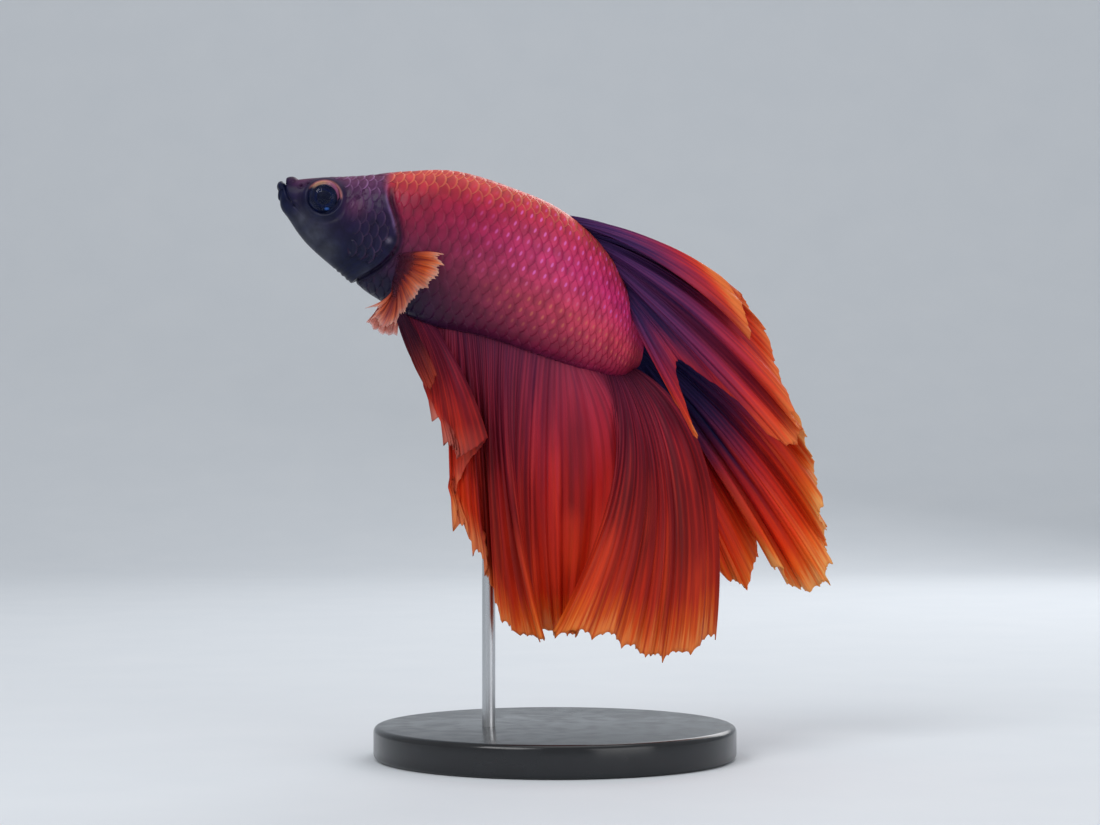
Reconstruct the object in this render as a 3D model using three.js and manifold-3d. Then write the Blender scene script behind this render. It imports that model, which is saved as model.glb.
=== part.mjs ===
// A long-finned male betta fish (Betta splendens), life size, held over a round base by one rod.
// The fish swims towards -X with its back up (+Z). Its left side faces -Y, and its tail bends
// away towards +Y. The origin is the middle of the base's underside. All lengths are millimetres.
import * as THREE from "three";
import { mergeVertices } from "three/addons/utils/BufferGeometryUtils.js";
import Module from "manifold-3d";

const wasm = await Module();
wasm.setup();

// ---------------------------------------------------------------- driving dimensions
const fishPlace = { y: -4, z: 1 }; // moves the whole fish, so that its weight stands over the base
const partGap = 0.1; // cut between neighbouring pieces of the body
const finThickness = 0.6; // where a fin leaves the body
const finTip = 0.5; // at its free edge
const bodyRings = 32;
const bodySides = 24;
const gillCover = { x: -21.9, z: 61.6, long: 3.3, high: 4.9, slant: 0.22, thick: 1.1, sides: 16 };
const tailCut = 0.79; // where the tail starts, as a share of the body's length
const rootDepth = 0.9; // how deep inside the body a fin's base starts, before it is trimmed

const base = { radius: 22, height: 4, chamfer: 0.7, sides: 40 };
const rod = { radius: 0.8, x: -8, y: -1.6, seat: 1.8, top: 57, sides: 16 };
const rodClearance = 0.1;

// Sections of the body from the lips to the tail root: the back's and the belly's place in the
// side view [x, z], how far the middle lies to the right (+Y), and the half width.
const bodySections = [
  { back: [-32.9, 68.1], belly: [-32.9, 66.3], y: 0, halfWidth: 1.0 },
  { back: [-31.8, 68.8], belly: [-32.3, 64.6], y: 0, halfWidth: 1.8 },
  { back: [-28.3, 69.2], belly: [-29.8, 61.0], y: 0, halfWidth: 3.2 },
  { back: [-23.3, 69.4], belly: [-25.2, 57.1], y: 0, halfWidth: 4.4 },
  { back: [-17.8, 69.9], belly: [-20.6, 54.0], y: 0, halfWidth: 5.0 },
  { back: [-11.8, 69.9], belly: [-15.1, 51.3], y: 0, halfWidth: 5.3 },
  { back: [-5.3, 68.0], belly: [-8.9, 50.0], y: 0.4, halfWidth: 5.1 },
  { back: [0.5, 65.5], belly: [-1.9, 47.7], y: 2.0, halfWidth: 4.4 },
  { back: [5.4, 61.3], belly: [3.7, 45.9], y: 5.4, halfWidth: 3.4 },
  { back: [8.4, 56.0], belly: [7.5, 45.1], y: 9.6, halfWidth: 2.4 },
  { back: [10.2, 51.4], belly: [10.0, 46.2], y: 13.4, halfWidth: 1.2 },
];

const eye = { x: -27.5, z: 66.5, y: 2.1, radius: 2.05, bulge: 1.5 };

// Each fin is a sheet hung between control rays. A ray leaves the body at `root`, a share of the
// fin's base from its front, and ends at `tip` [x, y, z]. `bow` is how far its middle stands off
// the straight line between the two.
const dorsalFin = {
  from: 0.69, to: 0.875, edge: Math.PI / 2, columns: 36, rows: 5, rays: 18, jag: 0.5,
  control: [
    { root: 0.0, tip: [16.2, 5.0, 60.2], bow: [0.4, 0, 1.5] },
    { root: 0.08, tip: [21.6, 3.8, 56.4], bow: [1.6, -1.4, 3.0] },
    { root: 0.16, tip: [24.0, 3.0, 50.0], bow: [1.8, -1.6, 3.8] },
    { root: 0.21, tip: [22.6, 5.8, 55.0], bow: [1.6, 0.6, 3.2] },
    { root: 0.26, tip: [25.8, 7.0, 51.0], bow: [1.8, 0.8, 4.0] },
    { root: 0.33, tip: [27.8, 6.2, 45.6], bow: [2.0, 0.6, 4.4] },
    { root: 0.43, tip: [29.2, 4.4, 40.8], bow: [1.6, -1.0, 3.4] },
    { root: 0.53, tip: [30.2, 6.4, 37.8], bow: [1.2, 1.0, 2.8] },
    { root: 0.64, tip: [28.2, 4.6, 36.9], bow: [0.6, -1.0, 1.2] },
    { root: 0.75, tip: [21.6, 7.2, 42.5], bow: [0.3, 0, 0.6] },
    { root: 0.85, tip: [15.0, 8.2, 47.0], bow: [0, 0, 0.4] },
    { root: 0.93, tip: [17.9, 5.2, 37.0], bow: [-0.4, -1.0, 1.2] },
    { root: 1.0, tip: [14.0, 7.2, 45.0], bow: [-0.4, 0, 0.4] },
  ],
};

const caudalFin = {
  columns: 36, rows: 5, rays: 18, jag: 0.7,
  control: [
    { root: 0.0, tip: [27.6, 13.4, 44.5], bow: [1.0, 2, 5.6] },
    { root: 0.12, tip: [31.0, 11.4, 38.8], bow: [1.6, 3, 5.2] },
    { root: 0.25, tip: [33.0, 15.4, 33.6], bow: [2.0, 4, 4.8] },
    { root: 0.37, tip: [33.2, 11.8, 27.6], bow: [2.2, 3, 4.4] },
    { root: 0.48, tip: [34.2, 16.6, 23.4], bow: [2.0, 4, 3.8] },
    { root: 0.58, tip: [34.2, 12.8, 19.2], bow: [1.6, 3, 3.2] },
    { root: 0.68, tip: [31.4, 17.4, 18.2], bow: [1.2, 4, 2.6] },
    { root: 0.77, tip: [28.2, 13.4, 20.8], bow: [0.8, 3, 2.0] },
    { root: 0.85, tip: [26.0, 18.2, 24.2], bow: [0.4, 3, 1.6] },
    { root: 0.92, tip: [24.2, 14.4, 18.0], bow: [0.2, 3, 1.2] },
    { root: 1.0, tip: [19.6, 18.4, 22.4], bow: [0, 2, 1.0] },
  ],
};

const analFin = {
  from: 0.43, to: 0.972, edge: -Math.PI / 2, columns: 54, rows: 5, rays: 27, jag: 0.45,
  control: [
    { root: 0.0, tip: [-15.4, -0.6, 43.7], bow: [0.6, 0, 0.6] },
    { root: 0.04, tip: [-13.9, -2.4, 37.8], bow: [1.4, -0.4, 1.2] },
    { root: 0.08, tip: [-11.5, -3.6, 35.2], bow: [2.0, -0.8, 1.4] },
    { root: 0.12, tip: [-7.9, -3.0, 37.8], bow: [1.4, -1.2, 0.7] },
    { root: 0.155, tip: [-11.9, -0.4, 32.4], bow: [1.4, 1.2, 1.0] },
    { root: 0.19, tip: [-12.0, -0.6, 26.9], bow: [-0.6, 1.4, 0.6] },
    { root: 0.24, tip: [-9.0, 0.2, 22.0], bow: [0.2, 0.4, 1.0] },
    { root: 0.29, tip: [-7.3, 0.2, 18.2], bow: [0.2, 0, 1.0] },
    { root: 0.34, tip: [-5.1, -1.8, 14.6], bow: [-1.2, 0, 0.6] },
    { root: 0.39, tip: [-1.4, -4.6, 13.6], bow: [-3.6, 0, 0] },
    { root: 0.46, tip: [-2.3, -1.2, 15.0], bow: [-2.4, 0, 0] },
    { root: 0.56, tip: [0.6, 1.0, 14.6], bow: [-0.6, 0, 0.4] },
    { root: 0.67, tip: [2.2, -0.6, 14.4], bow: [9.6, 3.0, 4.6] },
    { root: 0.8, tip: [-0.8, -5.4, 14.2], bow: [8.0, -1.6, 4.0] },
    { root: 0.86, tip: [5.2, -6.0, 13.8], bow: [7.0, -0.8, 5.2] },
    { root: 0.91, tip: [10.1, -4.4, 11.8], bow: [6.4, 0, 6.4] },
    { root: 0.96, tip: [14.0, -3.4, 11.2], bow: [6.8, 0, 8.0] },
    { root: 1.0, tip: [19.6, 2.2, 13.4], bow: [8.0, 0, 10.0] },
  ],
};

// Where the small paired fins stand on the left side, and their control rays. The right side's
// fins have rays of their own, because the pairs beat out of step.
const pectoralFin = {
  columns: 18, rows: 3, rays: 9, jag: 0.3,
  base: [[-18.9, 59.6, 3.7], [-19.4, 56.8, 2.6]],
  control: [
    { root: 0.0, tip: [-13.1, -9.2, 59.4], bow: [0, 0, 0.8] },
    { root: 0.2, tip: [-12.9, -9.8, 57.7], bow: [0, 0, 0.5] },
    { root: 0.35, tip: [-14.2, -9.6, 56.0], bow: [0, -0.2, 0.3] },
    { root: 0.5, tip: [-16.0, -9.0, 54.2], bow: [0.2, -0.4, 0.2] },
    { root: 0.63, tip: [-17.6, -8.4, 52.2], bow: [0.6, -0.6, 0] },
    { root: 0.76, tip: [-19.4, -7.8, 50.7], bow: [1.1, -0.8, 0] },
    { root: 0.88, tip: [-21.7, -7.2, 51.2], bow: [1.9, -0.8, -0.2] },
    { root: 1.0, tip: [-22.4, -6.6, 53.2], bow: [2.4, -0.8, -0.6] },
  ],
};
const pectoralRight = { lift: 1.6, back: 0.8 }; // the right fin beats higher

const pelvicLeft = {
  columns: 8, rows: 3, rays: 4, jag: 0.2,
  base: [[-19.4, 53.5, -1.1], [-18.2, 53.1, -1.1]],
  control: [
    { root: 0.0, tip: [-15.4, -3.0, 44.1], bow: [-0.5, -0.6, -0.3] },
    { root: 0.5, tip: [-14.7, -3.6, 43.6], bow: [0, -0.8, 0] },
    { root: 1.0, tip: [-14.0, -3.2, 45.2], bow: [0.5, -0.6, 0.4] },
  ],
};
const pelvicRight = {
  columns: 8, rows: 3, rays: 4, jag: 0.2,
  base: [[-20.6, 54.6, 1.1], [-19.2, 53.9, 1.1]],
  control: [
    { root: 0.0, tip: [-23.0, 6.4, 52.0], bow: [-0.4, 0.8, -0.6] },
    { root: 0.5, tip: [-21.3, 7.4, 50.6], bow: [0, 1.0, -0.4] },
    { root: 1.0, tip: [-19.3, 6.2, 50.2], bow: [0.3, 0.8, 0] },
  ],
};

// ---------------------------------------------------------------- materials
const finish = (color, roughness, metalness = 0) =>
  new THREE.MeshStandardMaterial({ color, roughness, metalness });

const headSkin = finish(0x3a2340, 0.45);
const bodyScales = finish(0xb02a3e, 0.4);
const finMembrane = finish(0xc2331f, 0.5);
const clearFin = finish(0xd98a78, 0.5);
const eyeLens = finish(0x0b0f20, 0.12);
const standBlack = finish(0x26272b, 0.5);
const standSteel = finish(0xb9bcc0, 0.3, 1);

// ---------------------------------------------------------------- small helpers
const lerp = THREE.MathUtils.lerp;
const clamp = THREE.MathUtils.clamp;

// A smooth curve through evenly spaced 3-D points, and the same for plain numbers.
const smoothPath = (points) =>
  new THREE.CatmullRomCurve3(points, false, "catmullrom", 0.5);
const smoothValue = (values) => {
  const path = smoothPath(values.map((value) => new THREE.Vector3(value, 0, 0)));
  return (t) => path.getPoint(clamp(t, 0, 1)).x;
};

// A closed grid of triangles from rings of points, each end closed by a fan round its middle.
function loftSolid(rings, startPoint, endPoint) {
  const sides = rings[0].length;
  const points = [...rings.flat(), startPoint, endPoint];
  const start = rings.length * sides;
  const last = (rings.length - 1) * sides;
  const faces = [];
  for (let i = 0; i < rings.length - 1; i++)
    for (let j = 0; j < sides; j++) {
      const a = i * sides + j;
      const b = i * sides + ((j + 1) % sides);
      faces.push(a, b, b + sides, a, b + sides, a + sides);
    }
  for (let j = 0; j < sides; j++) {
    const next = (j + 1) % sides;
    faces.push(start, next, j);
    faces.push(start + 1, last + j, last + next);
  }
  return meshOf(points, faces);
}

// A sheet of the given thickness round the surface point(u, v), closed along its four edges.
function sheetSolid(point, columns, rows, thicknessAt) {
  const step = 1e-3;
  const sidePoints = (sign) => {
    const side = [];
    for (let i = 0; i <= columns; i++)
      for (let j = 0; j <= rows; j++) {
        const u = i / columns;
        const v = j / rows;
        const here = point(u, v);
        const alongU = point(Math.min(u + step, 1), v).sub(point(Math.max(u - step, 0), v));
        const alongV = point(u, Math.min(v + step, 1)).sub(point(u, Math.max(v - step, 0)));
        const normal = alongU.cross(alongV).normalize();
        side.push(here.addScaledVector(normal, (sign * thicknessAt(u, v)) / 2));
      }
    return side;
  };
  const points = [...sidePoints(1), ...sidePoints(-1)];
  const back = (columns + 1) * (rows + 1);
  const at = (i, j) => i * (rows + 1) + j;
  const faces = [];
  const quad = (a, b, c, d) => faces.push(a, b, c, a, c, d);
  for (let i = 0; i < columns; i++)
    for (let j = 0; j < rows; j++) {
      quad(at(i, j), at(i + 1, j), at(i + 1, j + 1), at(i, j + 1));
      quad(back + at(i, j), back + at(i, j + 1), back + at(i + 1, j + 1), back + at(i + 1, j));
    }
  for (let i = 0; i < columns; i++) {
    quad(at(i, 0), back + at(i, 0), back + at(i + 1, 0), at(i + 1, 0));
    quad(at(i, rows), at(i + 1, rows), back + at(i + 1, rows), back + at(i, rows));
  }
  for (let j = 0; j < rows; j++) {
    quad(at(0, j), at(0, j + 1), back + at(0, j + 1), back + at(0, j));
    quad(at(columns, j), back + at(columns, j), back + at(columns, j + 1), at(columns, j + 1));
  }
  return meshOf(points, faces);
}

function meshOf(points, faces) {
  const geometry = new THREE.BufferGeometry().setFromPoints(points);
  return geometry.setIndex(faces);
}

// three.js geometry to a manifold solid, and back. Faces that point inwards are turned round.
function solidOf(geometry) {
  const plain = geometry.clone();
  plain.deleteAttribute("normal");
  plain.deleteAttribute("uv");
  const merged = mergeVertices(plain, 1e-4);
  const vertProperties = new Float32Array(merged.attributes.position.array);
  const triVerts = new Uint32Array(merged.index.array);
  const asGiven = new wasm.Manifold(new wasm.Mesh({ numProp: 3, vertProperties, triVerts }));
  if (asGiven.volume() >= 0) return asGiven;
  return new wasm.Manifold(
    new wasm.Mesh({ numProp: 3, vertProperties, triVerts: triVerts.slice().reverse() }),
  );
}

function geometryOf(solid) {
  const mesh = solid.getMesh();
  const position = new Float32Array(mesh.numVert * 3);
  for (let i = 0; i < mesh.numVert; i++)
    position.set(mesh.vertProperties.subarray(i * mesh.numProp, i * mesh.numProp + 3), i * 3);
  return new THREE.BufferGeometry()
    .setAttribute("position", new THREE.BufferAttribute(position, 3))
    .setIndex(new THREE.BufferAttribute(new Uint32Array(mesh.triVerts), 1));
}

const largestOf = (solid) =>
  solid.decompose().sort((a, b) => b.volume() - a.volume())[0];

// ---------------------------------------------------------------- the body
const backPath = smoothPath(
  bodySections.map((s) => new THREE.Vector3(s.back[0], s.y, s.back[1])),
);
const bellyPath = smoothPath(
  bodySections.map((s) => new THREE.Vector3(s.belly[0], s.y, s.belly[1])),
);
const halfWidthAt = smoothValue(bodySections.map((s) => s.halfWidth));

function bodyFrame(t) {
  const step = 1e-3;
  const middle = (at) => backPath.getPoint(at).lerp(bellyPath.getPoint(at), 0.5);
  const up = backPath.getPoint(t).sub(bellyPath.getPoint(t)).multiplyScalar(0.5);
  const along = middle(Math.min(t + step, 1)).sub(middle(Math.max(t - step, 0)));
  const left = along.cross(up).normalize(); // -Y on the straight front half
  return { centre: middle(t), up, left };
}

// A point of the body's surface: t runs from the lips (0) to the tail root (1), and angle round
// the section from the left side (0) over the back (90 degrees). grow moves it outwards.
function bodyPoint(t, angle, grow = 0) {
  const { centre, up, left } = bodyFrame(t);
  const keel = 1 - 0.13 * (1 - Math.sin(angle)); // the belly is narrower than the back
  const flat = Math.sign(Math.cos(angle)) * Math.abs(Math.cos(angle)) ** 0.92;
  const half = Math.max(halfWidthAt(t) + grow, 0.2) * keel;
  const tall = Math.max(1 + grow / up.length(), 0.2);
  return centre.addScaledVector(left, half * flat).addScaledVector(up, Math.sin(angle) * tall);
}

function bodySolid(grow = 0) {
  const rings = [];
  for (let i = 0; i < bodyRings; i++) {
    const t = i / (bodyRings - 1);
    const ring = [];
    for (let j = 0; j < bodySides; j++)
      ring.push(bodyPoint(t, (2 * Math.PI * j) / bodySides, grow));
    rings.push(ring);
  }
  const lips = bodyFrame(0).centre.add(new THREE.Vector3(-0.3 - grow, 0, -0.1));
  const tailRoot = bodyFrame(1).centre.add(new THREE.Vector3(0.5, 1.1, -0.2).multiplyScalar(1 + grow));
  return solidOf(loftSolid(rings, lips, tailRoot));
}

// A block whose side view is the outline [x, z] and which runs from yLow to yHigh.
function sideBlock(outline, yLow, yHigh) {
  const shape = new THREE.Shape(outline.map(([x, z]) => new THREE.Vector2(x, z)));
  const block = new THREE.ExtrudeGeometry(shape, { depth: yHigh - yLow, bevelEnabled: false });
  return solidOf(block.rotateX(Math.PI / 2).translate(0, yHigh, 0));
}

function ellipsoid(radii, centre, wide = 12, high = 8) {
  const ball = new THREE.SphereGeometry(1, wide, high).scale(...radii).translate(...centre);
  return solidOf(ball);
}

// The head ends at the gill opening, a curve that runs down behind the cheek and forward below.
const gillEdge = new THREE.CatmullRomCurve3(
  [[-19.2, 72], [-19.8, 67], [-18.9, 63.4], [-18.8, 60.8], [-21, 58.4], [-24.6, 56.4], [-26, 55]].map(
    ([x, z]) => new THREE.Vector3(x, 0, z),
  ),
)
  .getPoints(12)
  .map((p) => [p.x, p.z]);
const headOutline = (gap) => [
  [-40, 72],
  ...gillEdge.map(([x, z]) => [x + gap, z - gap * 0.6]),
  [-40, 50],
];
// The lower jaw lies in front of a line from the mouth slit back to below the eye.
const jawOutline = (gap) => [
  [-36, 70],
  [-32.5 + gap, 70],
  [-32.3 + gap, 67.4],
  [-31.2 + gap, 65.6 + gap],
  [-28.6 + gap, 62.4 + gap],
  [-28.4 + gap, 58],
  [-36, 58],
];
// The gill cover is a plate on the cheek, rounded in front and behind.
const gillOutline = (gap) =>
  Array.from({ length: gillCover.sides }, (_, i) => {
    const angle = (2 * Math.PI * i) / gillCover.sides;
    const along = (gillCover.long + gap) * Math.cos(angle);
    const rise = (gillCover.high + gap) * Math.sin(angle) + gillCover.slant * along;
    return [gillCover.x + along, gillCover.z + rise];
  });

const body = bodySolid();
const bodyGrown = bodySolid(partGap);

const headBlock = sideBlock(headOutline(0), -12, 12);
const headBlockGrown = sideBlock(headOutline(partGap), -12, 12);
const upperLipSolid = (grow) =>
  ellipsoid([0.85 + grow, 1.35 + grow, 0.6 + grow], [-31.6, 0, 68.6]);
const lowerLip = ellipsoid([0.5, 1.3, 0.65], [-32.85, 0, 68.0]);
const jawBlock = sideBlock(jawOutline(0), -12, 12);
const jawBlockGrown = sideBlock(jawOutline(partGap), -12, 12);

const eyeSolid = (side, grow) =>
  ellipsoid([eye.radius + grow, eye.bulge + grow, eye.radius + grow], [eye.x, side * eye.y, eye.z], 12, 9);

// What is cut from the cheek for a plate: its outline, down to the plate's thickness.
const gillTool = (side, gap) =>
  sideBlock(gillOutline(gap), side < 0 ? -12 : 1, side < 0 ? -1 : 12).subtract(
    bodySolid(-gillCover.thick - gap),
  );

const wholeHead = body.intersect(headBlock);
let head = wholeHead.subtract(jawBlockGrown).add(upperLipSolid(0));
for (const side of [-1, 1])
  head = head.subtract(eyeSolid(side, partGap)).subtract(gillTool(side, partGap));
const jaw = wholeHead.intersect(jawBlock).add(lowerLip).subtract(upperLipSolid(partGap));
const gillPlate = (side) => largestOf(wholeHead.intersect(gillTool(side, 0)));

// The tail is parted from the trunk by a plane across the body.
function behindPlane(t, gap) {
  const { centre, up, left } = bodyFrame(t);
  const along = up.clone().normalize().cross(left).normalize();
  const block = new THREE.BoxGeometry(40, 60, 60);
  const turn = new THREE.Matrix4().makeBasis(along, left, up.clone().normalize());
  block.translate(20 + gap, 0, 0).applyMatrix4(turn).translate(centre.x, centre.y, centre.z);
  return solidOf(block);
}

const rodCylinder = (radius, length) =>
  new THREE.CylinderGeometry(radius, radius, length, rod.sides);
const rodShape = (grow) =>
  solidOf(
    rodCylinder(rod.radius + grow, rod.top - rod.seat + 2 * grow)
      .rotateX(Math.PI / 2)
      .translate(rod.x, rod.y, (rod.top + rod.seat) / 2),
  );
const rodSocket = rodShape(rodClearance).translate([0, -fishPlace.y, -fishPlace.z]);

const behindHead = body.subtract(headBlockGrown).subtract(rodSocket);
const trunk = largestOf(behindHead.subtract(behindPlane(tailCut, 0)));
const tail = largestOf(behindHead.intersect(behindPlane(tailCut, partGap)));

// ---------------------------------------------------------------- the fins
function finSurface(fin, baseAt) {
  const root = smoothValue(fin.control.map((ray) => ray.root));
  const tips = smoothPath(fin.control.map((ray) => new THREE.Vector3(...ray.tip)));
  const bows = smoothPath(fin.control.map((ray) => new THREE.Vector3(...ray.bow)));
  return (u, v) => {
    const share = clamp(root(u), 0, 1);
    const start = baseAt(share);
    const tip = tips.getPoint(u);
    // the membrane is drawn in between the ends of the rays
    const reach = 1 - Math.abs(Math.sin(Math.PI * fin.rays * u)) * (fin.jag / tip.distanceTo(start));
    const w = v * reach;
    const middle = start.clone().lerp(tip, 0.5).add(bows.getPoint(u));
    return start
      .multiplyScalar((1 - w) ** 2)
      .addScaledVector(middle, 2 * w * (1 - w))
      .addScaledVector(tip, w * w);
  };
}

// Fins grow out of the body, so each starts a little way inside it and is trimmed to the skin.
const edgeBase = (fin) => (share) => bodyPoint(lerp(fin.from, fin.to, share), fin.edge, -rootDepth);
const tailBase = (share) => {
  const top = bodyPoint(0.925, Math.PI / 2, -0.6);
  const bottom = bodyPoint(0.985, -Math.PI / 2, -0.8);
  const round = Math.sin(Math.PI * share);
  return top.lerp(bottom, share).add(new THREE.Vector3(0.5 * round, 1.5 * round, 0));
};
const pointBase = (ends, side = 1) => (share) =>
  new THREE.Vector3(ends[0][0], side * ends[0][2], ends[0][1]).lerp(
    new THREE.Vector3(ends[1][0], side * ends[1][2], ends[1][1]),
    share,
  );

function finSolid(fin, baseAt) {
  const thickness = (u, v) => lerp(finThickness, finTip, v ** 3);
  const sheet = solidOf(sheetSolid(finSurface(fin, baseAt), fin.columns, fin.rows, thickness));
  return largestOf(sheet.subtract(bodyGrown));
}

const mirrored = (fin, change) => ({
  ...fin,
  control: fin.control.map((ray) => ({
    root: ray.root,
    tip: [ray.tip[0] + change.back, -ray.tip[1], ray.tip[2] + change.lift],
    bow: [ray.bow[0], -ray.bow[1], ray.bow[2]],
  })),
});

const fins = {
  dorsal_fin: finSolid(dorsalFin, edgeBase(dorsalFin)),
  caudal_fin: finSolid(caudalFin, tailBase),
  anal_fin: finSolid(analFin, edgeBase(analFin)),
  pectoral_fin_left: finSolid(pectoralFin, pointBase(pectoralFin.base, -1)),
  pectoral_fin_right: finSolid(
    mirrored(pectoralFin, pectoralRight),
    pointBase(pectoralFin.base),
  ),
  pelvic_fin_left: finSolid(pelvicLeft, pointBase(pelvicLeft.base)),
  pelvic_fin_right: finSolid(pelvicRight, pointBase(pelvicRight.base)),
};

// ---------------------------------------------------------------- the stand
function latheSolid(profile, sides) {
  const points = profile.map(([r, z]) => new THREE.Vector2(r, z));
  return solidOf(new THREE.LatheGeometry(points, sides).rotateX(Math.PI / 2));
}
const baseProfile = [
  [0, 0],
  [base.radius, 0],
  [base.radius, base.height - base.chamfer],
  [base.radius - base.chamfer, base.height],
  [0, base.height],
];
const standBase = latheSolid(baseProfile, base.sides).subtract(rodShape(rodClearance));

// ---------------------------------------------------------------- the model
const betta = new THREE.Group();
const fish = new THREE.Group();
fish.position.set(0, fishPlace.y, fishPlace.z);
betta.add(fish);

function addPart(group, name, solid, material) {
  const mesh = new THREE.Mesh(geometryOf(solid), material);
  mesh.name = name;
  group.add(mesh);
}

addPart(fish, "head", largestOf(head), headSkin);
addPart(fish, "lower_jaw", largestOf(jaw), headSkin);
addPart(fish, "gill_cover_left", gillPlate(-1), headSkin);
addPart(fish, "gill_cover_right", gillPlate(1), headSkin);
addPart(fish, "eye_left", eyeSolid(-1, 0), eyeLens);
addPart(fish, "eye_right", eyeSolid(1, 0), eyeLens);
addPart(fish, "trunk", trunk, bodyScales);
addPart(fish, "tail", tail, bodyScales);
for (const [name, solid] of Object.entries(fins))
  addPart(fish, name, solid, name.startsWith("pectoral") ? clearFin : finMembrane);
addPart(betta, "stand_base", standBase, standBlack);
addPart(betta, "stand_rod", rodShape(0), standSteel);

export default betta;
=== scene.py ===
# A long-finned male betta fish in life size on a small display stand.
# Lengths in the settings are millimetres in the fish's own frame: it swims towards -X, its back is
# up (+Z), its left side faces -Y, and fishPlace sets it over the stand.
import math

import bpy
import numpy as np
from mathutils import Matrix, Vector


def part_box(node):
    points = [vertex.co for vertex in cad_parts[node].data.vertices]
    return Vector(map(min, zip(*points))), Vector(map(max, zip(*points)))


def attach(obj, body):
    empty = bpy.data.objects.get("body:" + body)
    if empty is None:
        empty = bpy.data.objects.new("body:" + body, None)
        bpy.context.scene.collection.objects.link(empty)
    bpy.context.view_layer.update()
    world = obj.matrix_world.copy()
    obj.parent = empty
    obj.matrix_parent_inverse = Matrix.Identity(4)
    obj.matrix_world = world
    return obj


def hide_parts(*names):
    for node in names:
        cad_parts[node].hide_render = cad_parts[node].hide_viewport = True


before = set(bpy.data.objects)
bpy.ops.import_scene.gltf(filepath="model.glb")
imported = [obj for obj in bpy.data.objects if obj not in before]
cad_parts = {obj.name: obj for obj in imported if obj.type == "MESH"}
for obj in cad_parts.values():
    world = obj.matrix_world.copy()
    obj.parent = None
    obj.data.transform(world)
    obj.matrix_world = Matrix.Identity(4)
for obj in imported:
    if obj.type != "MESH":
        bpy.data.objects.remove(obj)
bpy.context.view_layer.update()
bpy.ops.object.select_all(action="DESELECT")

mm = 0.001
fishPlace = np.array([0.0, -4.0, 1.0])


def linear(hexColour):
    # an sRGB hex colour as the linear one that the nodes take
    parts = [int(hexColour[i:i + 2], 16) / 255 for i in (1, 3, 5)]
    return tuple(c / 12.92 if c <= 0.04045 else ((c + 0.055) / 1.055) ** 2.4 for c in parts) + (1.0,)


def fade(value, start, end):
    # 0 at start, 1 at end, smooth between; start may be the larger
    share = np.clip((value - start) / (end - start), 0, 1)
    return share * share * (3 - 2 * share)


def hump(value, centre, width):
    return np.exp(-(((value - centre) / width) ** 2))


def smoothPath(points, t):
    # a curve through evenly spaced points, the one that the solids use
    points = np.asarray(points, float)
    last = len(points) - 1
    place = np.clip(t, 0, 1) * last
    first = np.minimum(place.astype(int), last - 1)
    w = (place - first)[..., None]
    padded = np.vstack([2 * points[0] - points[1], points, 2 * points[-1] - points[-2]])
    a, b, c, d = (padded[first + i] for i in range(4))
    return b + 0.5 * w * (c - a + w * (2 * a - 5 * b + 4 * c - d + w * (3 * (b - c) + d - a)))


def smoothValue(values, t):
    return smoothPath(np.asarray(values, float)[:, None], t)[..., 0]


def unit(vectors):
    length = np.linalg.norm(vectors, axis=-1, keepdims=True)
    return vectors / np.maximum(length, 1e-9)


def lineRange(x, z, points):
    # signed distance from a line of [x, z] points (positive on its left), and the share along it
    points = np.asarray(points, float)
    best = np.full(np.shape(x), 1e9)
    sign = np.ones(np.shape(x))
    share = np.zeros(np.shape(x))
    count = len(points) - 1
    for i in range(count):
        ahead = points[i + 1] - points[i]
        dx, dz = x - points[i][0], z - points[i][1]
        along = np.clip((dx * ahead[0] + dz * ahead[1]) / (ahead @ ahead), 0, 1)
        apart = np.hypot(dx - along * ahead[0], dz - along * ahead[1])
        nearer = apart < best
        best = np.where(nearer, apart, best)
        sign = np.where(nearer, np.sign(ahead[0] * dz - ahead[1] * dx + 1e-12), sign)
        share = np.where(nearer, (i + along) / count, share)
    return best * sign, share


def toWorld(points):
    return (points + fishPlace) * mm


def readPlaces(piece):
    flat = np.empty(len(piece.data.vertices) * 3, np.float32)
    piece.data.vertices.foreach_get("co", flat)
    return flat.reshape(-1, 3).astype(float)


def setPlaces(piece, points):
    piece.data.vertices.foreach_set("co", np.asarray(points, np.float32).ravel())
    piece.data.update()


def keepValues(piece, **values):
    # stored on the mesh's points, where the materials read them by name
    for name, value in values.items():
        layer = piece.data.attributes.new(name, "FLOAT", "POINT")
        layer.data.foreach_set("value", np.asarray(value, np.float32).ravel())


def pick(piece):
    bpy.ops.object.select_all(action="DESELECT")
    piece.select_set(True)
    bpy.context.view_layer.objects.active = piece


def gridPiece(name, columns, rows):
    # a flat grid of columns x rows faces with u and v from 0 to 1
    bpy.ops.mesh.primitive_grid_add(x_subdivisions=columns, y_subdivisions=rows, size=1)
    piece = bpy.context.object
    piece.name = name
    piece.data.name = name
    piece.data.uv_layers[0].name = "OFBake"
    flat = readPlaces(piece)
    return piece, flat[:, 0] + 0.5, flat[:, 1] + 0.5


def meshPiece(name, points, edges, faces):
    mesh = bpy.data.meshes.new(name)
    mesh.from_pydata(toWorld(points).tolist(), edges, faces)
    piece = bpy.data.objects.new(name, mesh)
    bpy.context.collection.objects.link(piece)
    return piece


def applyModifier(piece, kind, **settings):
    pick(piece)
    modifier = piece.modifiers.new(kind.title(), kind)
    for name, value in settings.items():
        setattr(modifier, name, value)
    bpy.ops.object.modifier_apply(modifier=modifier.name)


def closeSeams(piece, gap):
    pick(piece)
    bpy.ops.object.mode_set(mode="EDIT")
    bpy.ops.mesh.select_all(action="SELECT")
    bpy.ops.mesh.remove_doubles(threshold=gap * mm)
    bpy.ops.mesh.normals_make_consistent(inside=False)
    bpy.ops.object.mode_set(mode="OBJECT")


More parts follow.
